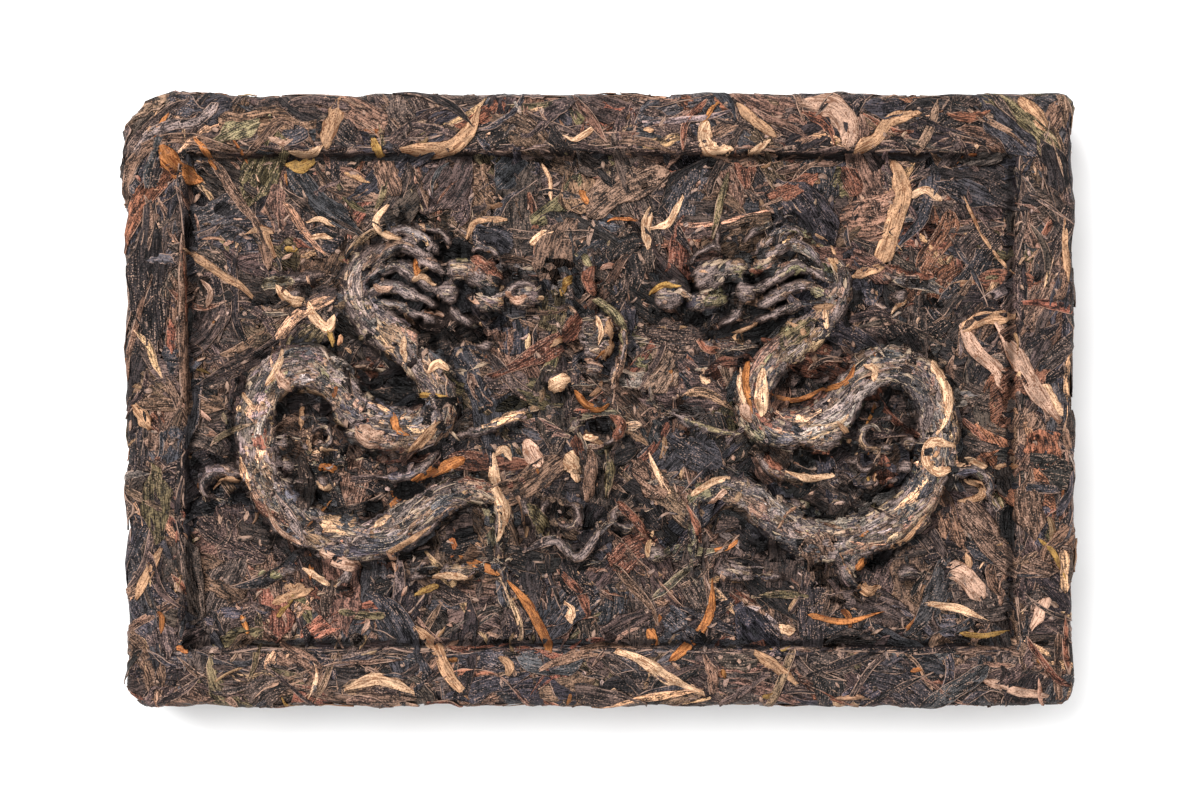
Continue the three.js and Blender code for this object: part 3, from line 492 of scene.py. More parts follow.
def dragon(side):
    spine = np.array(SPINE)
    half_width = np.interp(np.linspace(0, len(SPINE) - 1, 120), range(len(SPINE)), spine[:, 2])
    rise = BODY_RISE * (0.45 + 0.55 * half_width / WIDEST)
    strand(across(spine[:, :2], side), half_width, rise, 0.12)
    for row in LUMPS:
        lump(row, side)
    for half_width, rise, points in HEAD_STRANDS:
        strand(across(points, side), half_width, rise)
    for half_width, rise, lock in MANE:
        strand(across(lock, side), half_width, rise, 0.22)
    for leg in LEGS:
        strand(across(leg, side), LEG_HALF_WIDTH, LEG_RISE)
    for a, b, heading in PAWS:
        for k in range(CLAWS):
            angle = heading + (k / (CLAWS - 1) - 0.5) * CLAW_SPREAD
            tip = (a + CLAW_LENGTH * math.cos(angle), b + CLAW_LENGTH * math.sin(angle))
            strand(across([(a, b), tip], side), CLAW_HALF_WIDTH, CLAW_RISE)
    for row in SCROLLS:
        scroll(row, side)
    for bank in CLOUD_BANKS:
        strand(across(bank, side), BANK_HALF_WIDTH, BANK_RISE)


def carve(row, side):
    """Sinks an oval hollow, except where something tall stands."""
    a, b, half_length, half_width, depth, turn = row
    grown = (half_length * 1.25, half_width * 1.25)
    window, out, _, _ = ellipse(MIRROR_X + side * a, b, *grown, side * turn)
    hollow = depth * (1 - np.minimum(out, 1) ** 2) ** 0.7
    bare = relief[window] < 3
    relief[window][bare] = np.minimum(relief[window], -hollow)[bare]


for dragon_side in (1, -1):
    dragon(dragon_side)
for centre_lump in CENTRE_LUMPS:
    lump(centre_lump, 1)
for strand_half_width, strand_rise, places_along in CENTRE_STRANDS:
    strand(across(places_along, 1), strand_half_width, strand_rise, 0.3)
relief = np.maximum(relief, 0)
for pit in PITS:
    for pit_side in (1, -1):
        carve(pit, pit_side)
carve(CENTRE_PIT, 1)
# The edges of all that stands up are ragged.
ragged_x = GRID_X + 0.35 * grid_ripples(5, 7) + 0.2 * grid_ripples(2.4, 8)
ragged_y = GRID_Y + 0.35 * grid_ripples(5, 9) + 0.2 * grid_ripples(2.4, 10)
relief = sample(relief, ragged_x, ragged_y)
standing = smoothstep(relief, 0.4, 2)
relief += standing * (0.35 * grid_ripples(4, 5) + 0.3 * ripples(along * 0.4, aside, 1.8, 6))
relief = blurred(relief, 0.25)
# A dark groove runs round all that stands up.
relief -= 2.2 * np.clip(blurred(standing, 1.2) - standing, 0, 1)


# ---- Outlines ----


def box_distance(x, y, half_x, half_y, radii):
    """Signed distance to a rounded box, negative inside, and the direction that leads out of it."""
    east, north = x >= 0, y >= 0
    r = np.where(north, np.where(east, radii[0], radii[1]), np.where(east, radii[3], radii[2]))
    qx, qy = np.abs(x) - half_x + r, np.abs(y) - half_y + r
    corner = (qx > 0) & (qy > 0)
    reach = np.maximum(np.hypot(qx, qy), 1e-6)
    distance = np.where(corner, reach, np.maximum(qx, qy)) - r
    nx = np.where(corner, qx / reach, qx > qy) * np.where(east, 1, -1)
    ny = np.where(corner, qy / reach, qx <= qy) * np.where(north, 1, -1)
    return distance, nx, ny


def outline(inset, spacing=2.0):
    """The brick's outline drawn in by inset, anticlockwise, as points and outward directions."""
    points, outward = [], []
    signs = ((1, 1), (-1, 1), (-1, -1), (1, -1))
    for i, radius in enumerate(CORNER_RADII):
        r = max(radius - inset, INNER_CORNER)
        x0, y0 = signs[i][0] * (HALF_LENGTH - inset - r), signs[i][1] * (HALF_WIDTH - inset - r)
        for angle in (i + np.linspace(0, 1, 7)) * math.pi / 2:
            points.append((x0 + r * math.cos(angle), y0 + r * math.sin(angle)))
            outward.append((math.cos(angle), math.sin(angle)))
        following = (i + 1) % 4
        r = max(CORNER_RADII[following] - inset, INNER_CORNER)
        x1 = signs[following][0] * (HALF_LENGTH - inset - r) + r * outward[-1][0]
        y1 = signs[following][1] * (HALF_WIDTH - inset - r) + r * outward[-1][1]
        x0, y0 = points[-1]
        count = round((LENGTH, WIDTH)[i % 2] / spacing)
        for share in np.arange(1, count) / count:
            points.append((x0 + (x1 - x0) * share, y0 + (y1 - y0) * share))
            outward.append(outward[-1])
    return np.array(points), np.array(outward)


def wobble(x, y, z):
    """How far a wall strays outwards. The crushed corner bulges past the walls beside it."""
    bulge = smoothstep(y, 48, 49.4) * smoothstep(-y, -72, -66) * smoothstep(-x, 112, 117)
    crushed_here = smoothstep(y, 48, 49.4) * smoothstep(-x, 95, 106)
    crumbly = 0.8 * bulge + 0.75 * crushed_here * ripples(x + z, y - z, 4.5, 13, 12)
    wavy = 0.35 * ripples(x + 0.7 * z, y - 0.5 * z, 17, 11, 8) + 0.2 * ripples(x - z, y + z, 6, 12, 8)
    return crumbly + wavy


# ---- The face's height everywhere ----

inside_panel = -box_distance(GRID_X, GRID_Y, *half_sizes(RIM_WIDTH), (INNER_CORNER,) * 4)[0]
sunk = np.clip(inside_panel / RIM_SLOPE, 0, 1)
crushed = np.exp(-((GRID_X - CRUSHED_X) ** 2 + (GRID_Y - CRUSHED_Y) ** 2) / CRUSHED_SPREAD)
uneven = 0.28 * grid_ripples(21, 21) + 0.16 * grid_ripples(8, 22)
uneven += crushed * (0.9 * grid_ripples(7, 23) - 0.9)
FACE = HEIGHT - PANEL_DEPTH * sunk + relief * (sunk >= 1) + uneven * (1 - standing)
BLURRED_FACE = blurred(FACE, 1.2)
FACE_Y, FACE_X = np.gradient(blurred(FACE, 0.5), PITCH)
# How deep a place lies below what is round it: 0 in the open, 1 in a narrow hollow.
# The materials darken the colour by it: painted shade in hollows.
DEEP = np.clip((blurred(relief, 3.2) - relief - 0.3) / 1.9, 0, 1)
# How near a place on the panel is to something that stands up.
SHELTER = blurred(standing, 5) * (1 - standing)


def rolled(x, y, radius):
    """Carries points past the outline over an edge of that radius and straight on down."""
    distance, nx, ny = box_distance(x, y, HALF_LENGTH, HALF_WIDTH, CORNER_RADII)
    past = np.maximum(distance + radius, 0)
    angle = np.minimum(past / radius, math.pi / 2)
    beyond = np.maximum(past - radius * math.pi / 2, 0)
    back = radius * np.sin(angle) - past
    down = radius * (1 - np.cos(angle)) + beyond
    return x + nx * back, y + ny * back, down, nx * np.sin(angle), ny * np.sin(angle), np.cos(angle)


def on_face(x, y, height, level, drop, climb):
    """Lays points on the moulded face, no further below or above their leaf's own level than it can bend."""
    ground = sample(FACE, x, y)
    laid = np.clip(ground, level - drop, level + climb)
    free = np.abs(laid - ground) < 1e-6
    px, py, down, nx, ny, nz = rolled(x, y, EDGE_ROUND)
    out = wobble(px, py, HEIGHT - down)
    px, py = px + nx * out, py + ny * out
    sx, sy = -sample(FACE_X, x, y) * free * nz, -sample(FACE_Y, x, y) * free * nz
    size = np.sqrt(1 + sx**2 + sy**2)
    nx, ny, nz = (nx + sx) / size, (ny + sy) / size, nz / size
    place = np.stack([px + nx * height, py + ny * height, laid - down + nz * height], -1)
    return place, sample(DEEP, x, y)


def on_back(x, y, height, level):
    """Lays points on the underside, pressed flat at the level of their own leaf."""
    px, py, up, nx, ny, nz = rolled(x, y, FOOT_ROUND)
    z = np.maximum(SKIN + up - nz * height, level)
    return np.stack([px + nx * height, py + ny * height, z], -1), np.zeros(x.shape)


WALL_POINTS, WALL_OUTWARD = (np.vstack([rows, rows[:1]]) for rows in outline(0, 0.5))
WALL_RUN = distance_along(WALL_POINTS)
GIRTH = WALL_RUN[-1]


def on_wall(run, z, height):
    """Lays points on the walls. run goes anticlockwise round the outline."""
    run = np.mod(run, GIRTH)
    x, y = (np.interp(run, WALL_RUN, column) for column in WALL_POINTS.T)
    nx, ny = (np.interp(run, WALL_RUN, column) for column in WALL_OUTWARD.T)
    foot = np.clip(FOOT_ROUND - z, 0, FOOT_ROUND)
    top = np.clip(z - (HEIGHT - EDGE_ROUND), 0, EDGE_ROUND)
    inset = FOOT_ROUND - np.sqrt(FOOT_ROUND**2 - foot**2) + EDGE_ROUND - np.sqrt(EDGE_ROUND**2 - top**2)
    out = height - inset + wobble(x, y, z)
    z = np.clip(z, 0.25, HEIGHT - 0.3)
    return np.stack([x + nx * out, y + ny * out, z], -1), np.zeros(run.shape)


# ---- Leaves ----

TOP_SHARE = 0.93  # how much of a leaf's half width its upper side takes up; the rest is its thin edge


def wave(t, rate, phase):
    return np.sin(2 * math.pi * (t * rate + phase))


def sweep(rows, surface, steps, lanes, **bending):
    """Many leaves of one make. rows holds an array for each of: x, y, heading, length, width, bend, thick,
    ridge, layer, tint, or a path in place of x, y, heading and bend. Each leaf is a closed strip with ridges
    along it, laid on a surface. Lanes are the lines of points that run along it. drop and climb, for the
    face, are how far a leaf bends below and above its own level."""
    count = len(rows["width"])
    t = np.linspace(0, 1, steps + 1)[None, :, None]
    v = np.concatenate([[-1], np.linspace(-TOP_SHARE, TOP_SHARE, lanes - 2), [1]])[None, None, :]

    def each(name):
        return np.asarray(rows[name])[:, None, None]

    def draw(low, high, shape=(1, 1)):
        return rng.uniform(low, high, (count, *shape))

    if "path" in rows:
        mid_x, mid_y = rows["path"][:, :, 0, None], rows["path"][:, :, 1, None]
        heading = np.arctan2(np.gradient(mid_y, axis=1), np.gradient(mid_x, axis=1))
    else:
        # The middle line bends to one side and wriggles a little.
        heading = each("heading") + each("bend") * (t - 0.5)
        heading = heading + draw(-0.25, 0.25) * wave(t, draw(0.6, 1.6), draw(0, 1))
        stride = each("length") / steps
        mid_x = np.cumsum(np.cos(heading) * stride, 1)
        mid_y = np.cumsum(np.sin(heading) * stride, 1)
        mid_x += each("x") - mid_x.mean(1, keepdims=True)
        mid_y += each("y") - mid_y.mean(1, keepdims=True)
    # Each end is pointed or torn off, often on the slant, and the two sides are ragged.
    power = draw(0.35, 1)
    ends = np.clip(t / draw(0.03, 0.45), 0, 1) ** power * np.clip((1 - t) / draw(0.03, 0.45), 0, 1) ** power
    side = (v > 0) * 0.37
    ragged = 1 + draw(0.04, 0.16) * wave(t, draw(0.8, 2), draw(0, 1) + side)
    ragged = ragged + draw(0.02, 0.12) * wave(t, draw(2, 4), draw(0, 1) + 2 * side)
    half = 0.5 * each("width") * np.maximum(ends, draw(0.08, 0.45)) * ragged
    slant = draw(-0.9, 0.9) * (2 * t - 1) * np.abs(2 * t - 1) * half * v
    x = mid_x - np.sin(heading) * half * v + np.cos(heading) * slant
    y = mid_y + np.cos(heading) * half * v + np.sin(heading) * slant
    # The section: nearly flat, with ridges along it, one side sometimes curled up, and a clean edge.
    top = np.abs(v) <= TOP_SHARE
    ridges = each("ridge") * wave(t, draw(-0.7, 0.7, (1, lanes)), draw(0, 1, (1, lanes)))
    ridges = ridges + draw(-0.05, 0.2) * np.minimum(each("width") / 4, 1) * np.abs(v) ** 5
    tilt = rng.normal(0, 0.025, (count, 1, 1)) * each("width") * v
    curl = draw(-0.9, 0.6).clip(0) * np.clip(v * np.sign(draw(-1, 1)) - 0.2, 0, 1) ** 2
    sag = 0.09 * wave(t, draw(0.7, 2), draw(0, 1) + 0.1 * v)
    section = (ridges - 0.3 * each("thick") * v**2) * top - each("thick") * ~top
    height = each("layer") + section + tilt + curl + sag
    if surface is on_face:
        bending["level"] = sample(BLURRED_FACE, mid_x, mid_y)
    elif surface is on_back:
        bending["level"] = 0.02 + 0.3 * draw(0, 1)
    place, deep = surface(x, y, height, **bending)
    shape = (count, steps + 1, lanes)
    # Painted shade: each leaf's thin edge, and the leaves that lie low, are darker, as if under their
    # neighbours.
    deep = np.clip(deep + 0.5 * ~top + 0.3 * np.clip(0.1 - each("layer"), 0, 1), 0, 1)
    # The grain runs in millimetres along and across each leaf, from a start of its own.
    identity = draw(0, 1)
    grain = (t * each("length") + 60 * identity, half * v, identity)
    index = np.arange(count * (steps + 1) * lanes).reshape(shape)
    turned = np.roll(index, -1, axis=2)
    quads = np.stack([index[:, :-1], index[:, 1:], turned[:, 1:], turned[:, :-1]], -1).reshape(-1, 4)
    caps = np.concatenate([index[:, 0], index[:, -1, ::-1]])
    if surface is on_back:
        quads, caps = quads[:, ::-1], caps[:, ::-1]
    return {
        "places": place.reshape(-1, 3),
        "grain": np.stack([np.broadcast_to(part, shape) for part in grain], -1).reshape(-1, 3),
        "tint": np.broadcast_to(np.asarray(rows["tint"])[:, None, None, :], (*shape, 3)).reshape(-1, 3),
        "deep": np.broadcast_to(deep, shape).reshape(-1),
        "edge": np.broadcast_to(half * (1 - np.abs(v)), shape).reshape(-1),
        "faces": [quads, caps],
    }


def add_object(name, data):
    made = bpy.data.objects.new(name, data)
    bpy.context.scene.collection.objects.link(made)
    return made


def make_piece(name, parts, material):
    """One object from swept parts or plain ones, each with places, grain, tint, deep, edge and faces."""
    start = 0
    corners, sizes = [], []
    for part in parts:
        for faces in part["faces"]:
            faces = np.asarray(faces)
            corners.append((faces + start).ravel())
            sizes.append(np.full(len(faces), faces.shape[1]))
        start += len(part["places"])
    corners, sizes = np.concatenate(corners), np.concatenate(sizes)
    places = np.concatenate([part["places"] for part in parts]) * MM
    mesh = bpy.data.meshes.new(name)
    mesh.vertices.add(len(places))
    mesh.vertices.foreach_set("co", places.ravel())
    mesh.loops.add(len(corners))
    mesh.loops.foreach_set("vertex_index", corners)
    mesh.polygons.add(len(sizes))
    mesh.polygons.foreach_set("loop_start", np.concatenate([[0], np.cumsum(sizes)[:-1]]))
    mesh.polygons.foreach_set("use_smooth", np.ones(len(sizes), bool))
    attributes = (("grain", "FLOAT_VECTOR", "vector"), ("deep", "FLOAT", "value"), ("edge", "FLOAT", "value"))
    for key, kind, field in attributes:
        values = np.concatenate([part[key] for part in parts])
        mesh.attributes.new(key, kind, "POINT").data.foreach_set(field, values.ravel())
    tint = np.concatenate([part["tint"] for part in parts])
    tint = np.concatenate([tint, np.ones((len(tint), 1))], 1)
    mesh.attributes.new("tint", "FLOAT_COLOR", "POINT").data.foreach_set("color", tint.ravel())
    mesh.update(calc_edges=True)
    mesh.validate()
    mesh.materials.append(material)
    piece = add_object(name, mesh)
    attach(piece, "root")
    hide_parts("tea_brick")


# ---- Materials ----


def new_material(name):
    material = bpy.data.materials.new(name)
    material.use_nodes = True
    return material, material.node_tree, material.node_tree.nodes["Principled BSDF"]


def node(tree, kind, inputs=None, **settings):
    made = tree.nodes.new(kind)
    for key, value in settings.items():
        setattr(made, key, value)
    for key, value in (inputs or {}).items():
        if isinstance(value, bpy.types.NodeSocket):
            tree.links.new(value, made.inputs[key])
        else:
            made.inputs[key].default_value = value
    return made


def leaf_material(
    name,
    contrast=1.0,
    fibre=1.0,
    roughness=(0.42, 0.68),
    bump=1.0,
    veil=0.35,
    crease_shade=(0.2, 0.2, 0.24),
    gloss=0.16,
    wear_and_highlight=(0.6, 0.38, 0.28),
):
    """Dried leaf: fibres and creases along it, darkened with painted shade, crinkles, pale crests and edges
    that are partly wear and partly painted highlight, and a dull gloss. The colour also holds painted shade
    in hollows.
    """
    material, tree, shader = new_material(name)

    def attribute(key, output):
        return node(tree, "ShaderNodeAttribute", attribute_name=key).outputs[output]

    def scaled(vector, scale):
        return node(tree, "ShaderNodeVectorMath", {0: vector, 1: scale}, operation="MULTIPLY").outputs[0]

    def noise(vector, detail, rough=0.6):
        inputs = {"Vector": vector, "Scale": 1.0, "Detail": detail, "Roughness": rough}
        return node(tree, "ShaderNodeTexNoise", inputs).outputs["Fac"]

    def ranged(value, low, high, to_low, to_high, smooth=False):
        inputs = {"Value": value, "From Min": low, "From Max": high, "To Min": to_low, "To Max": to_high}
        kind = "SMOOTHSTEP" if smooth else "LINEAR"
        return node(tree, "ShaderNodeMapRange", inputs, interpolation_type=kind).outputs[0]

    def maths(operation, a, b):
        return node(tree, "ShaderNodeMath", {0: a, 1: b}, operation=operation).outputs[0]

    def times(a, b):
        return maths("MULTIPLY", a, b)

    def plus(a, b):
        return maths("ADD", a, b)

    def larger(a, b):
        return maths("MAXIMUM", a, b)

    def magnitude(value):
        return maths("ABSOLUTE", value, 0)

    def by_rim():
        """Painted shade along the foot of the rim's inner wall."""
        axes = node(tree, "ShaderNodeSeparateXYZ", {0: place}).outputs
        half_x, half_y = (MM * half for half in half_sizes(RIM_WIDTH + RIM_SLOPE))
        off_x = maths("SUBTRACT", magnitude(axes[0]), half_x)
        off_y = maths("SUBTRACT", magnitude(axes[1]), half_y)
        off_foot = magnitude(larger(off_x, off_y))
        on_top = maths("GREATER_THAN", axes[2], MM * (PANEL_Z - 3))
        return times(ranged(off_foot, 0.2 * MM, 1.5 * MM, 0.8, 0, True), on_top)

    def mixed(share, low, high):
        return node(tree, "ShaderNodeMix", {0: share, 6: low, 7: high}, data_type="RGBA").outputs[2]

    grain, tint = attribute("grain", "Vector"), attribute("tint", "Color")
    deep, edge = attribute("deep", "Fac"), attribute("edge", "Fac")
    place = node(tree, "ShaderNodeTexCoord").outputs["Object"]
    streaks = noise(scaled(grain, (0.24, 3.6 * fibre, 11)), 1, 0.5)
    folds = noise(scaled(grain, (0.32, 0.8 * fibre, 8)), 2, 0.6)
    crinkle = noise(scaled(place, (2500, 2500, 2500)), 1, 0.5)
    mottle = noise(scaled(grain, (0.22, 0.3, 5)), 3)
    flecked = ranged(noise(scaled(grain, (0.05, 0.05, 9)), 0), 0.4, 0.58, 0.1, 1.25)
    crease = noise(scaled(grain, (0.07, 0.6 * fibre, 7)), 2)
    crease = ranged(magnitude(maths("SUBTRACT", crease, 0.5)), 0, 0.03, 0, 1, True)
    deep = larger(deep, by_rim())
    fine = plus(times(streaks, 0.45), times(crinkle, 0.55))
    grain_and_rise = plus(times(fine, 0.55), times(folds, 0.45))
    # The colour is lighter where the fibres, crinkles and folds rise, as the bump does: grain, partly painted
    # light on the crests.
    light = ranged(grain_and_rise, 0.42, 0.58, 1 - 0.82 * contrast, 1 + 1.1 * contrast)
    light = times(light, ranged(mottle, 0.3, 0.7, 0.65, 1.35))
    # Painted shade: the deeper a place lies, the darker its colour.
    light = times(light, ranged(deep, 0, 1, 1, 0.16))
    colour = node(tree, "ShaderNodeVectorMath", {0: tint, "Scale": light}, operation="SCALE").outputs[0]
    # Painted shade: creases and the low parts of the crinkles are mixed toward a dark shade of the tint.
    sunk_in = larger(ranged(crease, 0, 1, 0.9, 0), ranged(fine, 0.38, 0.45, 0.95, 0, True))
    colour = mixed(sunk_in, colour, scaled(tint, crease_shade))
    # Pale edges and flecks, partly wear and partly painted highlight, laid only where the place is open.
    open_here = ranged(deep, 0, 0.5, 1, 0)
    here_and_there = ranged(mottle, 0.42, 0.56, 0, 1, True)
    edge_wear_and_highlight = times(ranged(edge, 0.12, 0.34, 1, 0, True), here_and_there)
    flecks = times(ranged(fine, 0.57, 0.63, 0, 1, True), flecked)
    pale = larger(times(edge_wear_and_highlight, 1.5), flecks)
    pale = times(times(pale, veil), open_here)
    tree.links.new(mixed(pale, colour, (*wear_and_highlight, 1)), shader.inputs["Base Color"])
    tree.links.new(ranged(grain_and_rise, 0.4, 0.6, *roughness), shader.inputs["Roughness"])
    height = plus(times(fine, 0.35), times(folds, 0.9))
    height = plus(height, times(crease, 0.12))
    relief_bump = node(tree, "ShaderNodeBump", {"Height": height, "Strength": bump, "Distance": 0.0009})
    tree.links.new(relief_bump.outputs[0], shader.inputs["Normal"])
    shader.inputs["Specular IOR Level"].default_value = gloss
    return material


LEAF = leaf_material("pressed_leaf", contrast=1.2, bump=1.4)
TIP = leaf_material("pale_tip", contrast=0.5, bump=0.8, veil=0, crease_shade=(0.42, 0.28, 0.2))
CRUST = leaf_material(
    "moulded_leaf",
    contrast=1.1,
    roughness=(0.36, 0.6),
    bump=1.5,
    veil=0.46,
    gloss=0.4,
    wear_and_highlight=(0.57, 0.41, 0.28),
)
CORE = leaf_material("core_leaf", contrast=1.1, fibre=0.8, roughness=(0.6, 0.8), veil=0.3)


# ---- The core ----

FAR_FROM_EDGE = 9.0


def plain_part(places, faces, tint, grain=None):
    """A part of the core, in the form that make_piece takes."""
    places = np.asarray(places, float)
    # Painted shade: the core is darkened in the panel's hollows, as the leaves are.
    deep = sample(DEEP, places[:, 0], places[:, 1]) * (places[:, 2] > PANEL_Z - 6)
    return {
        "places": places,
        "grain": places * (1, 1, 0) + (0, 0, 0.5) if grain is None else grain,
        "tint": np.broadcast_to(np.array(tint), places.shape),
        "deep": deep,
        "edge": np.full(len(places), FAR_FROM_EDGE),
        "faces": faces,
    }


def core_frame():
    """The rim, walls and underside: outlines stacked from the underside up and down to the panel."""
    low, high = SKIN, HEIGHT - SKIN
    floor = PANEL_Z - 2.5
    turns = np.linspace(0, math.pi / 2, 5)
    profile = [(FOOT_ROUND + 5, low), (FOOT_ROUND, low)]
    profile += [(SKIN + FOOT_ROUND * (1 - math.sin(a)), low + FOOT_ROUND * (1 - math.cos(a))) for a in turns]
    profile += [(SKIN, z) for z in np.linspace(low + FOOT_ROUND, high - EDGE_ROUND, 12)[1:-1]]
    profile += [(SKIN + EDGE_ROUND * (1 - math.cos(a)), high - EDGE_ROUND * (1 - math.sin(a))) for a in turns]
    profile += [(inset, high) for inset in np.linspace(EDGE_ROUND + SKIN, RIM_WIDTH, 7)[1:]]
    inner_wall = np.linspace(high, floor, 5)[1:]
    profile += [(RIM_WIDTH + RIM_SLOPE * (high - z) / PANEL_DEPTH, z) for z in inner_wall]
    rings = []
    for inset, z in profile:
        points, outward = outline(inset)
        stray = np.where(inset < EDGE_ROUND + 1, wobble(points[:, 0], points[:, 1], z), 0)
        points = points + outward * stray[:, None]
        rings.append(np.column_stack([points, np.full(len(points), z)]))
    count = len(rings[0])
    index = np.arange(count * len(rings)).reshape(len(rings), count)
    turned = np.roll(index, -1, axis=1)
    quads = np.stack([index[:-1], turned[:-1], turned[1:], index[1:]], -1).reshape(-1, 4)
    places = np.concatenate(rings)
    places[:, 2] += sample(uneven, places[:, 0], places[:, 1]) * (places[:, 2] > high - 0.1)
    return plain_part(places, [quads, index[:1, ::-1], index[-1:]], TINTS["dark"])


COARSE = 1.2  # the coarse cells of the panel's lattice
FINER = 3
UNDER_RIM = 1.2  # how far the panel's core reaches in under the rim
CORE_DEPTH = 8


def core_panel():
    """The panel with its relief, closed below: a lattice that is three times finer where anything stands up.
    A coarse cell beside a fine one takes the fine points of their common side into its own outline."""
    half_x, half_y = half_sizes(RIM_WIDTH - UNDER_RIM)
    columns, lines = round(2 * half_x / COARSE), round(2 * half_y / COARSE)
    x, y = np.meshgrid(
        np.linspace(-half_x, half_x, columns * FINER + 1), np.linspace(-half_y, half_y, lines * FINER + 1)
    )
    rising = smoothstep(sample(relief, x, y), 0.3, 2)
    z = sample(np.minimum(FACE, PANEL_Z + relief * (sunk >= 1) + 0.5), x, y) - SKIN * (1 - 0.8 * rising)
    run, side = sample(along, x, y), sample(aside, x, y)
    z += (0.1 + 0.1 * rising) * ripples(0.4 * run, side, 1.4, 31) + 0.07 * ripples(0.5 * x, 0.5 * y, 0.7, 32)
    cell = rising[:-1, :-1].reshape(lines, FINER, columns, FINER).max((1, 3)) > 0.05
    index = np.arange(x.size).reshape(x.shape)
    inner = np.repeat(np.repeat(cell, FINER, 0), FINER, 1)
    fine = np.stack([index[:-1, :-1], index[:-1, 1:], index[1:, 1:], index[1:, :-1]], -1)[inner]
    padded = np.pad(cell, 1)
    faces = {}
    for j, i in zip(*np.nonzero(~cell)):
        fine_beside = (padded[j, i + 1], padded[j + 1, i + 2], padded[j + 2, i + 1], padded[j + 1, i])
        rows = index[j * FINER : (j + 1) * FINER + 1, i * FINER : (i + 1) * FINER + 1]
        sides = (rows[0, :-1], rows[:-1, -1], rows[-1, :0:-1], rows[:0:-1, 0])
        loop = np.concatenate([side if finer else side[:1] for side, finer in zip(sides, fine_beside)])
        faces.setdefault(len(loop), []).append(loop)
    edge = np.concatenate([index[0, :-1], index[:-1, -1], index[-1, :0:-1], index[:0:-1, 0]])[::FINER]
    places = np.column_stack([x.ravel(), y.ravel(), z.ravel()])
    below = places[edge] * (1, 1, 0) + (0, 0, PANEL_Z - CORE_DEPTH)
    lower = len(places) + np.arange(len(edge))
    skirt = np.stack([np.roll(edge, -1), edge, lower, np.roll(lower, -1)], -1)
    groups = [fine, *(np.array(group) for group in faces.values()), skirt, lower[None, ::-1]]
    places = np.vstack([places, below])
    grain = np.column_stack([run.ravel(), side.ravel(), np.full(run.size, 0.5)])
    grain = np.vstack([grain, np.zeros(below.shape)])
    used, renumbered = np.unique(np.concatenate([group.ravel() for group in groups]), return_inverse=True)
    cuts = np.cumsum([group.size for group in groups])[:-1]
    groups = [part.reshape(group.shape) for part, group in zip(np.split(renumbered, cuts), groups)]
    part = plain_part(places[used], groups, TINTS["dark"], grain[used])
    # The core is greyer and lighter the higher it stands: painted light on the relief's tops, partly wear.
    high = smoothstep(part["places"][:, 2], PANEL_Z + 1, PANEL_Z + 4.6)[:, None]
    part["tint"] = part["tint"] * (1 - high) + np.array(TINTS["grey"]) * high
    return part


make_piece("core_frame", [core_frame()], CORE)
make_piece("core_panel", [core_panel()], CORE)


# ---- Strewing ----

GOLDEN_STEPS = (0.7548776662, 0.5698402910)  # steps that spread points evenly over a plane


def spread(count, *ranges, jitter=2):
    """Places spread evenly over a rectangle, each a little out of line."""
    k = np.arange(count) + rng.uniform(0, 1)
    return tuple(
        low + (high - low) * (k * step % 1) + rng.uniform(-jitter, jitter, count)
        for (low, high), step in zip(ranges, GOLDEN_STEPS)
    )


def spread_over(count, inset=0):
    """Places all over the brick, seen from above."""
    half_x, half_y = half_sizes(inset)
    return spread(count, (-half_x, half_x), (-half_y, half_y))


def spread_round(count, low=2, high=HEIGHT - 3):
    """Places all round the walls, as the way along the outline and the height."""
    return spread(count, (0, GIRTH), (low, high))


def tints(count, shares):
    """Random colours, as shares of the named tints, each a little lighter or darker and off its hue."""
    weights = np.array(list(shares.values()))
    picked = rng.choice(len(weights), count, p=weights / weights.sum())
    colours = np.array([TINTS[name] for name in shares])[picked]
    return colours * rng.uniform(0.7, 1.4, (count, 1)) * rng.uniform(0.93, 1.07, (count, 3))


def rows_of(x, y, heading, length, width, layer, colours, bend=0.7, thick=(0.16, 0.36), ridge=0.1):
    """The rows that sweep takes, with each leaf's own bend, thickness and ridges."""
    count = len(x)
    return {
        "x": x,
        "y": y,
        "heading": heading,
        "length": length,
        "width": width,
        "bend": rng.normal(0, bend, count),
        "thick": rng.uniform(*thick, count),
        "ridge": ridge * rng.uniform(0.4, 1.5, count),
        "layer": layer,
        "tint": colours,
    }


def lengths(count, low, high, power=1.6):
    return low + (high - low) * rng.uniform(0, 1, count) ** power


def sized(count, long, wide, layers, power=1.6, stacked=False):
    """Random lengths, widths and levels. Stacked leaves lie the higher, the later they come."""
    length, width = lengths(count, *long, power), rng.uniform(*wide, count)
    if stacked:
        return length, width, np.linspace(*layers, count) + rng.normal(0, 0.1, count)
    return length, width, rng.uniform(*layers, count)


# The mixes of colours, as shares of the named tints.
BROAD_SHARES = {"black": 20, "slate": 18, "dark": 35, "brown": 21, "rust": 4, "olive": 2}
STRIP_SHARES = {"black": 14, "slate": 10, "dark": 28, "brown": 30, "grey": 4, "rust": 5, "olive": 3, "tan": 6}
SHRED_SHARES = {"black": 24, "slate": 16, "dark": 30, "brown": 20, "grey": 2, "rust": 4, "olive": 2, "tan": 2}
CRUST_SHARES = {"black": 8, "slate": 18, "dark": 20, "brown": 22, "grey": 18, "rust": 2, "khaki": 4, "tan": 8}
LEDGE_SHARES = {"black": 34, "slate": 20, "dark": 30, "brown": 12, "rust": 4}
CRUMB_SHARES = {
    "black": 12, "slate": 12, "dark": 20, "brown": 26, "grey": 16, "rust": 5, "tan": 7, "olive": 2,
}
WALL_SHARES = {"black": 22, "slate": 14, "dark": 32, "brown": 20, "grey": 5, "rust": 4, "olive": 2, "tan": 1}
PALE_SHARES = {"tan": 44, "orange": 24, "cream": 14, "pink": 8, "gold": 6, "olive": 4}

# The relief's direction of growth, in a form that can be sampled between grid points.
FLOW_EAST, FLOW_NORTH = np.cos(growth), np.sin(growth)
FLOW_RADII = (6, 26, 9, 6)  # how the rim's leaves run round its corners, widest round the crushed one


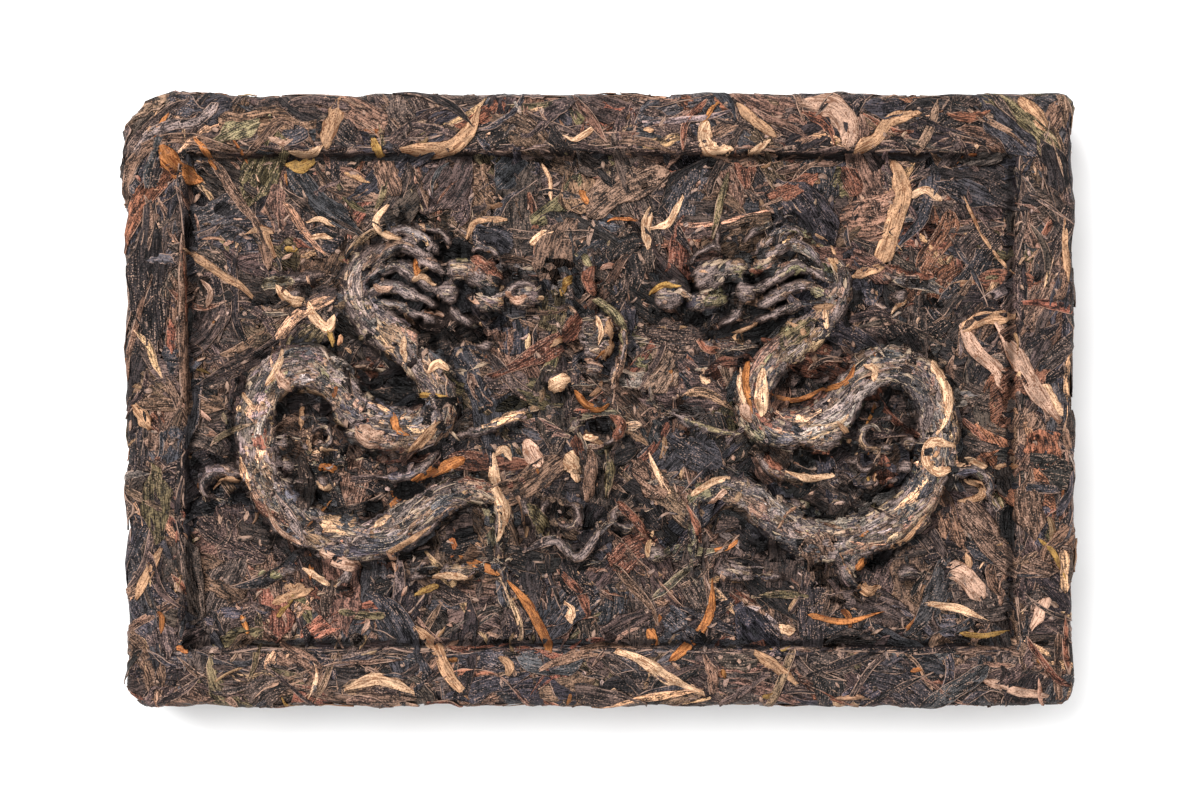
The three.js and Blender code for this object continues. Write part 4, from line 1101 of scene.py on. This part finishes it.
def rim_leaves(count, long, wide, layers, shares, steps, lanes):
    x, y = spread_over(count * 4)
    edge = box_distance(x, y, HALF_LENGTH, HALF_WIDTH, CORNER_RADII)[0]
    kept = np.nonzero((edge > -RIM_WIDTH + 0.5) & (edge < 2))[0][:count]
    x, y = x[kept], y[kept]
    count = len(x)
    _, nx, ny = box_distance(x, y, HALF_LENGTH, HALF_WIDTH, FLOW_RADII)
    calm = 1 - sample(crushed, x, y)
    heading = np.arctan2(nx, -ny) + calm * (0.7 * ripples(x, y, 30, 41) + rng.normal(0, 0.45, count))
    sizes = sized(count, long, wide, layers, stacked=True)
    rows = rows_of(x, y, heading, *sizes, tints(count, shares), thick=(0.25, 0.5), ridge=0.11)
    return sweep(rows, on_face, steps, lanes, drop=5, climb=0.4)


def ledge_leaves(count):
    """Long strips pressed along the rim's inner wall."""
    half_x, half_y = half_sizes(RIM_WIDTH + 0.4)
    half_way = 2 * (half_x + half_y)
    whole_run = (np.arange(count) * GOLDEN_STEPS[0]) % 1 * 2 * half_way
    run = whole_run % half_way
    on_long = run < 2 * half_x
    sign = np.where(whole_run < half_way, 1, -1)
    x = np.where(on_long, run - half_x, half_x) * sign
    y = np.where(on_long, -half_y, run - 2 * half_x - half_y) * sign
    offset = rng.uniform(-1.5, 1.1, count) * sign
    x += np.where(on_long, 0, offset)
    y -= np.where(on_long, offset, 0)
    heading = np.where(on_long, 0, math.pi / 2) + rng.normal(0, 0.06, count)
    sizes = sized(count, (12, 34), (1.4, 3), (-0.5, 0.15), power=1)
    rows = rows_of(x, y, heading, *sizes, tints(count, LEDGE_SHARES), bend=0.05)
    return sweep(rows, on_face, 12, 5, drop=4.4, climb=4.4)


def panel_leaves(count, long, wide, layers, shares, steps, lanes, ridge, bend):
    x, y = spread_over(count, RIM_WIDTH)
    ground = sample(relief, x, y)
    kept = (ground > -1.8) & (ground < 1.6)
    x, y = x[kept], y[kept]
    count = len(x)
    heading = math.pi * ripples(x, y, 34, 42) + rng.normal(0, 0.6, count)
    sizes = sized(count, long, wide, layers, stacked=True)
    # Painted shade: the panel's leaves are darker near the relief.
    colours = tints(count, shares) * (1 - np.clip(sample(SHELTER, x, y), 0, 0.42))[:, None]
    colours = colours * (1 + 0.22 * ripples(x, y, 26, 45))[:, None].clip(0.5, 1.6)
    rows = rows_of(x, y, heading, *sizes, colours, bend=bend, thick=(0.25, 0.45), ridge=ridge)
    return sweep(rows, on_face, steps, lanes, drop=1.2, climb=0.5)


def crust_leaves(count, long, wide, layers, steps, lanes, stray, thinnest):
    """Strips on the dragons and the rest of the relief, each along the way that its part grows."""
    tall = np.nonzero((relief.ravel() > 0.6) & (girth.ravel() > thinnest))[0]
    picked = rng.choice(tall, count)
    reach = girth.ravel()[picked]
    length = lengths(count, *long)
    width = np.minimum(rng.uniform(*wide, count), 1.4 * reach)
    off_course = rng.normal(0, stray, count) * np.minimum(reach / 5, 1)
    heading = growth.ravel()[picked]
    off_line = aside.ravel()[picked]
    inward = np.clip(off_line, 0.5 * width - reach, reach - 0.5 * width) - off_line
    inward *= reach > 0.5 * width
    path = np.zeros((count, steps + 1, 2))
    path[:, 0, 0] = GRID_X.ravel()[picked] - np.sin(heading) * inward
    path[:, 0, 1] = GRID_Y.ravel()[picked] + np.cos(heading) * inward
    for k in range(steps):
        x, y = path[:, k].T
        ahead = np.arctan2(sample(FLOW_NORTH, x, y), sample(FLOW_EAST, x, y))
        turn = np.mod(ahead - heading + math.pi, 2 * math.pi) - math.pi
        heading = heading + np.where(np.abs(turn) < 1, turn, 0)
        path[:, k + 1, 0] = x + np.cos(heading + off_course) * length / steps
        path[:, k + 1, 1] = y + np.sin(heading + off_course) * length / steps
    x, y = path[:, steps // 2].T
    layer = np.linspace(*layers, count) + rng.normal(0, 0.05, count)
    patchy = np.clip(1 + 0.4 * ripples(x, y, 9, 46), 0.3, 2)
    lit = 0.64 + 0.96 * smoothstep(sample(relief, x, y), 1.4, 4.8)
    colours = tints(count, CRUST_SHARES) * (patchy * lit)[:, None]
    rows = rows_of(x, y, heading, length, width, layer, colours, thick=(0.18, 0.32), ridge=0.12)
    rows["path"] = path
    return sweep(rows, on_face, steps, lanes, drop=2.4, climb=1.8)


def wall_leaves(count):
    run, z = spread_round(count, 0.5, HEIGHT - 1.5)
    heading = rng.normal(0, 0.2, count) + 0.16 * ripples(run, z, 30, 43)
    sizes = sized(count, (7, 28), (1.8, 5), (-0.6, 0.3), stacked=True)
    rows = rows_of(run, z, heading, *sizes, tints(count, WALL_SHARES), bend=0.3, ridge=0.14)
    return sweep(rows, on_wall, 8, 6)


def back_leaves(count):
    x, y = spread_over(count)
    heading = math.pi * ripples(x, y, 40, 44) + rng.normal(0, 0.5, count)
    sizes = sized(count, (10, 32), (4.5, 10), (-0.1, 0.5))
    return sweep(rows_of(x, y, heading, *sizes, tints(count, WALL_SHARES)), on_back, 7, 5)


def pale_leaves(count, long, wide, surface):
    """Stems, buds and pale leaf tips on top of the rest."""
    if surface is on_face:
        x, y = spread_over(count)
        heading = rng.uniform(0, math.pi, count)
        bending = {"drop": 1.4, "climb": 0.8}
    else:
        x, y = spread_round(count)
        heading = rng.normal(0, 0.35, count)
        bending = {}
    sizes = sized(count, long, wide, (-0.1, 0.35))
    colours = tints(count, PALE_SHARES) * rng.uniform(0.5, 1, (count, 1))
    rows = rows_of(x, y, heading, *sizes, colours, bend=0.8)
    return sweep(rows, surface, 7, 5, **bending)


def crumbs(count, surface):
    if surface is on_face:
        x, y = spread_over(count, 2)
        bending = {"drop": 2, "climb": 1}
    else:
        x, y = spread_round(count)
        bending = {}
    heading = rng.uniform(0, math.pi, count)
    sizes = sized(count, (1.2, 4), (0.5, 1.4), (0, 0.35), power=2)
    rows = rows_of(x, y, heading, *sizes, tints(count, CRUMB_SHARES), ridge=0.04)
    return sweep(rows, surface, 3, 4, **bending)


def marked_leaves(tints_taken, steps=16, lanes=8):
    """The leaves that the list above places one by one."""
    marked = [row for row in MARKED if row[0] in tints_taken]
    paths, length = [], []
    for _, _, *places in marked:
        path = curve(np.reshape(places, (-1, 2)), 80)
        run = distance_along(path)
        even = np.linspace(0, run[-1], steps + 1)
        paths.append(np.column_stack([np.interp(even, run, column) for column in path.T]))
        length.append(run[-1])
    count = len(marked)
    width = np.array([row[1] for row in marked])
    rows = {
        "path": np.array(paths),
        "length": np.array(length),
        "width": width * rng.uniform(0.95, 1.15, count),
        "thick": np.full(count, 0.45),
        "ridge": np.clip(0.05 * width, 0.06, 0.2),
        "layer": np.full(count, 0.4),
        "tint": np.array([TINTS[row[0]] for row in marked]) * rng.uniform(0.85, 1.2, (count, 1)),
    }
    return sweep(rows, on_face, steps, lanes, drop=2.4, climb=1.6)


make_piece(
    "rim_leaves",
    [rim_leaves(430, (10, 34), (4.5, 9.5), (-0.6, 0.1), BROAD_SHARES, steps=12, lanes=10)],
    LEAF,
)
make_piece(
    "rim_strips",
    [
        rim_leaves(300, (8, 30), (0.9, 3), (-0.3, 0.35), STRIP_SHARES, steps=12, lanes=6),
        ledge_leaves(200),
    ],
    LEAF,
)
# The panel's leaves in three makes: (count, lengths, widths, levels, colours, steps, lanes, ridge, bend).
PANEL_MAKES = {
    "panel_leaves": (760, (10, 34), (5, 12), (-0.8, 0.2), BROAD_SHARES, 12, 10, 0.17, 0.6),
    "panel_strips": (560, (9, 32), (1.2, 3.2), (-0.45, 0.2), STRIP_SHARES, 14, 6, 0.1, 1.0),
    "panel_shreds": (380, (2.5, 9), (0.6, 1.7), (-0.3, 0.25), SHRED_SHARES, 5, 4, 0.05, 0.9),
}
for piece_name, make in PANEL_MAKES.items():
    make_piece(piece_name, [panel_leaves(*make)], LEAF)
# The relief's in two: (count, lengths, widths, levels, steps, lanes, how far they stray, thinnest place).
RELIEF_MAKES = {
    "relief_leaves": (820, (5, 18), (2.2, 5.4), (-0.3, 0.12), 11, 8, 0.14, 0),
    "relief_shreds": (600, (3, 12), (0.6, 1.6), (-0.2, 0.14), 7, 4, 0.25, 2.8),
}
for piece_name, make in RELIEF_MAKES.items():
    make_piece(piece_name, [crust_leaves(*make)], CRUST)
make_piece("wall_leaves", [wall_leaves(640)], LEAF)
make_piece("back_leaves", [back_leaves(600)], LEAF)
make_piece("marked_leaves", [marked_leaves(DARK_TINTS)], LEAF)
make_piece("stems_and_tips", [marked_leaves(PALE_TINTS)], TIP)
make_piece(
    "small_tips",
    [pale_leaves(170, (2.5, 10), (0.7, 1.8), on_face), pale_leaves(70, (4, 12), (1, 2.4), on_wall)],
    TIP,
)
make_piece("crumbs", [crumbs(900, on_face), crumbs(300, on_wall)], LEAF)


# ---- Floor, light and camera ----


def plain_material(name, colour, roughness):
    material, _, shader = new_material(name)
    shader.inputs["Base Color"].default_value = (*colour, 1)
    shader.inputs["Roughness"].default_value = roughness
    return material


FLOOR_SIZE = 8
FLOOR_GAP = 0.0002  # so that the floor and the underside don't share a plane


def floor():
    bpy.ops.mesh.primitive_plane_add(size=FLOOR_SIZE, location=(0, 0, -FLOOR_GAP))
    plane = bpy.context.object
    plane.name = "floor"
    plane.data.materials.append(plain_material("floor_white", (0.96, 0.96, 0.96), 0.9))


def area_light(name, place, size, watts):
    light = bpy.data.lights.new(name, "AREA")
    light.size = size
    light.energy = watts
    lamp = add_object(name, light)
    lamp.location = place
    lamp.rotation_mode = "QUATERNION"
    lamp.rotation_quaternion = (-lamp.location).to_track_quat("-Z", "Y")


FRAME_WIDTH = 0.3038  # what the picture's width covers at the height of the rim
LENS = 100
SENSOR = 36


def camera():
    data = bpy.data.cameras.new("camera")
    data.lens = LENS
    data.sensor_width = SENSOR
    eye = add_object("camera", data)
    eye.location = (0, 0, HEIGHT * MM + FRAME_WIDTH * LENS / SENSOR)
    bpy.context.scene.camera = eye


def sky(strength):
    world = bpy.data.worlds.new("sky")
    world.use_nodes = True
    background = world.node_tree.nodes["Background"].inputs
    background["Color"].default_value = (1, 1, 1, 1)
    background["Strength"].default_value = strength
    bpy.context.scene.world = world


floor()
area_light("key", place=(-0.45, 0.5, 1.25), size=0.85, watts=26)
area_light("fill", place=(0.9, -0.4, 1.3), size=1.4, watts=6)
camera()
sky(0.82)
bpy.context.scene.view_settings.view_transform = "Standard"
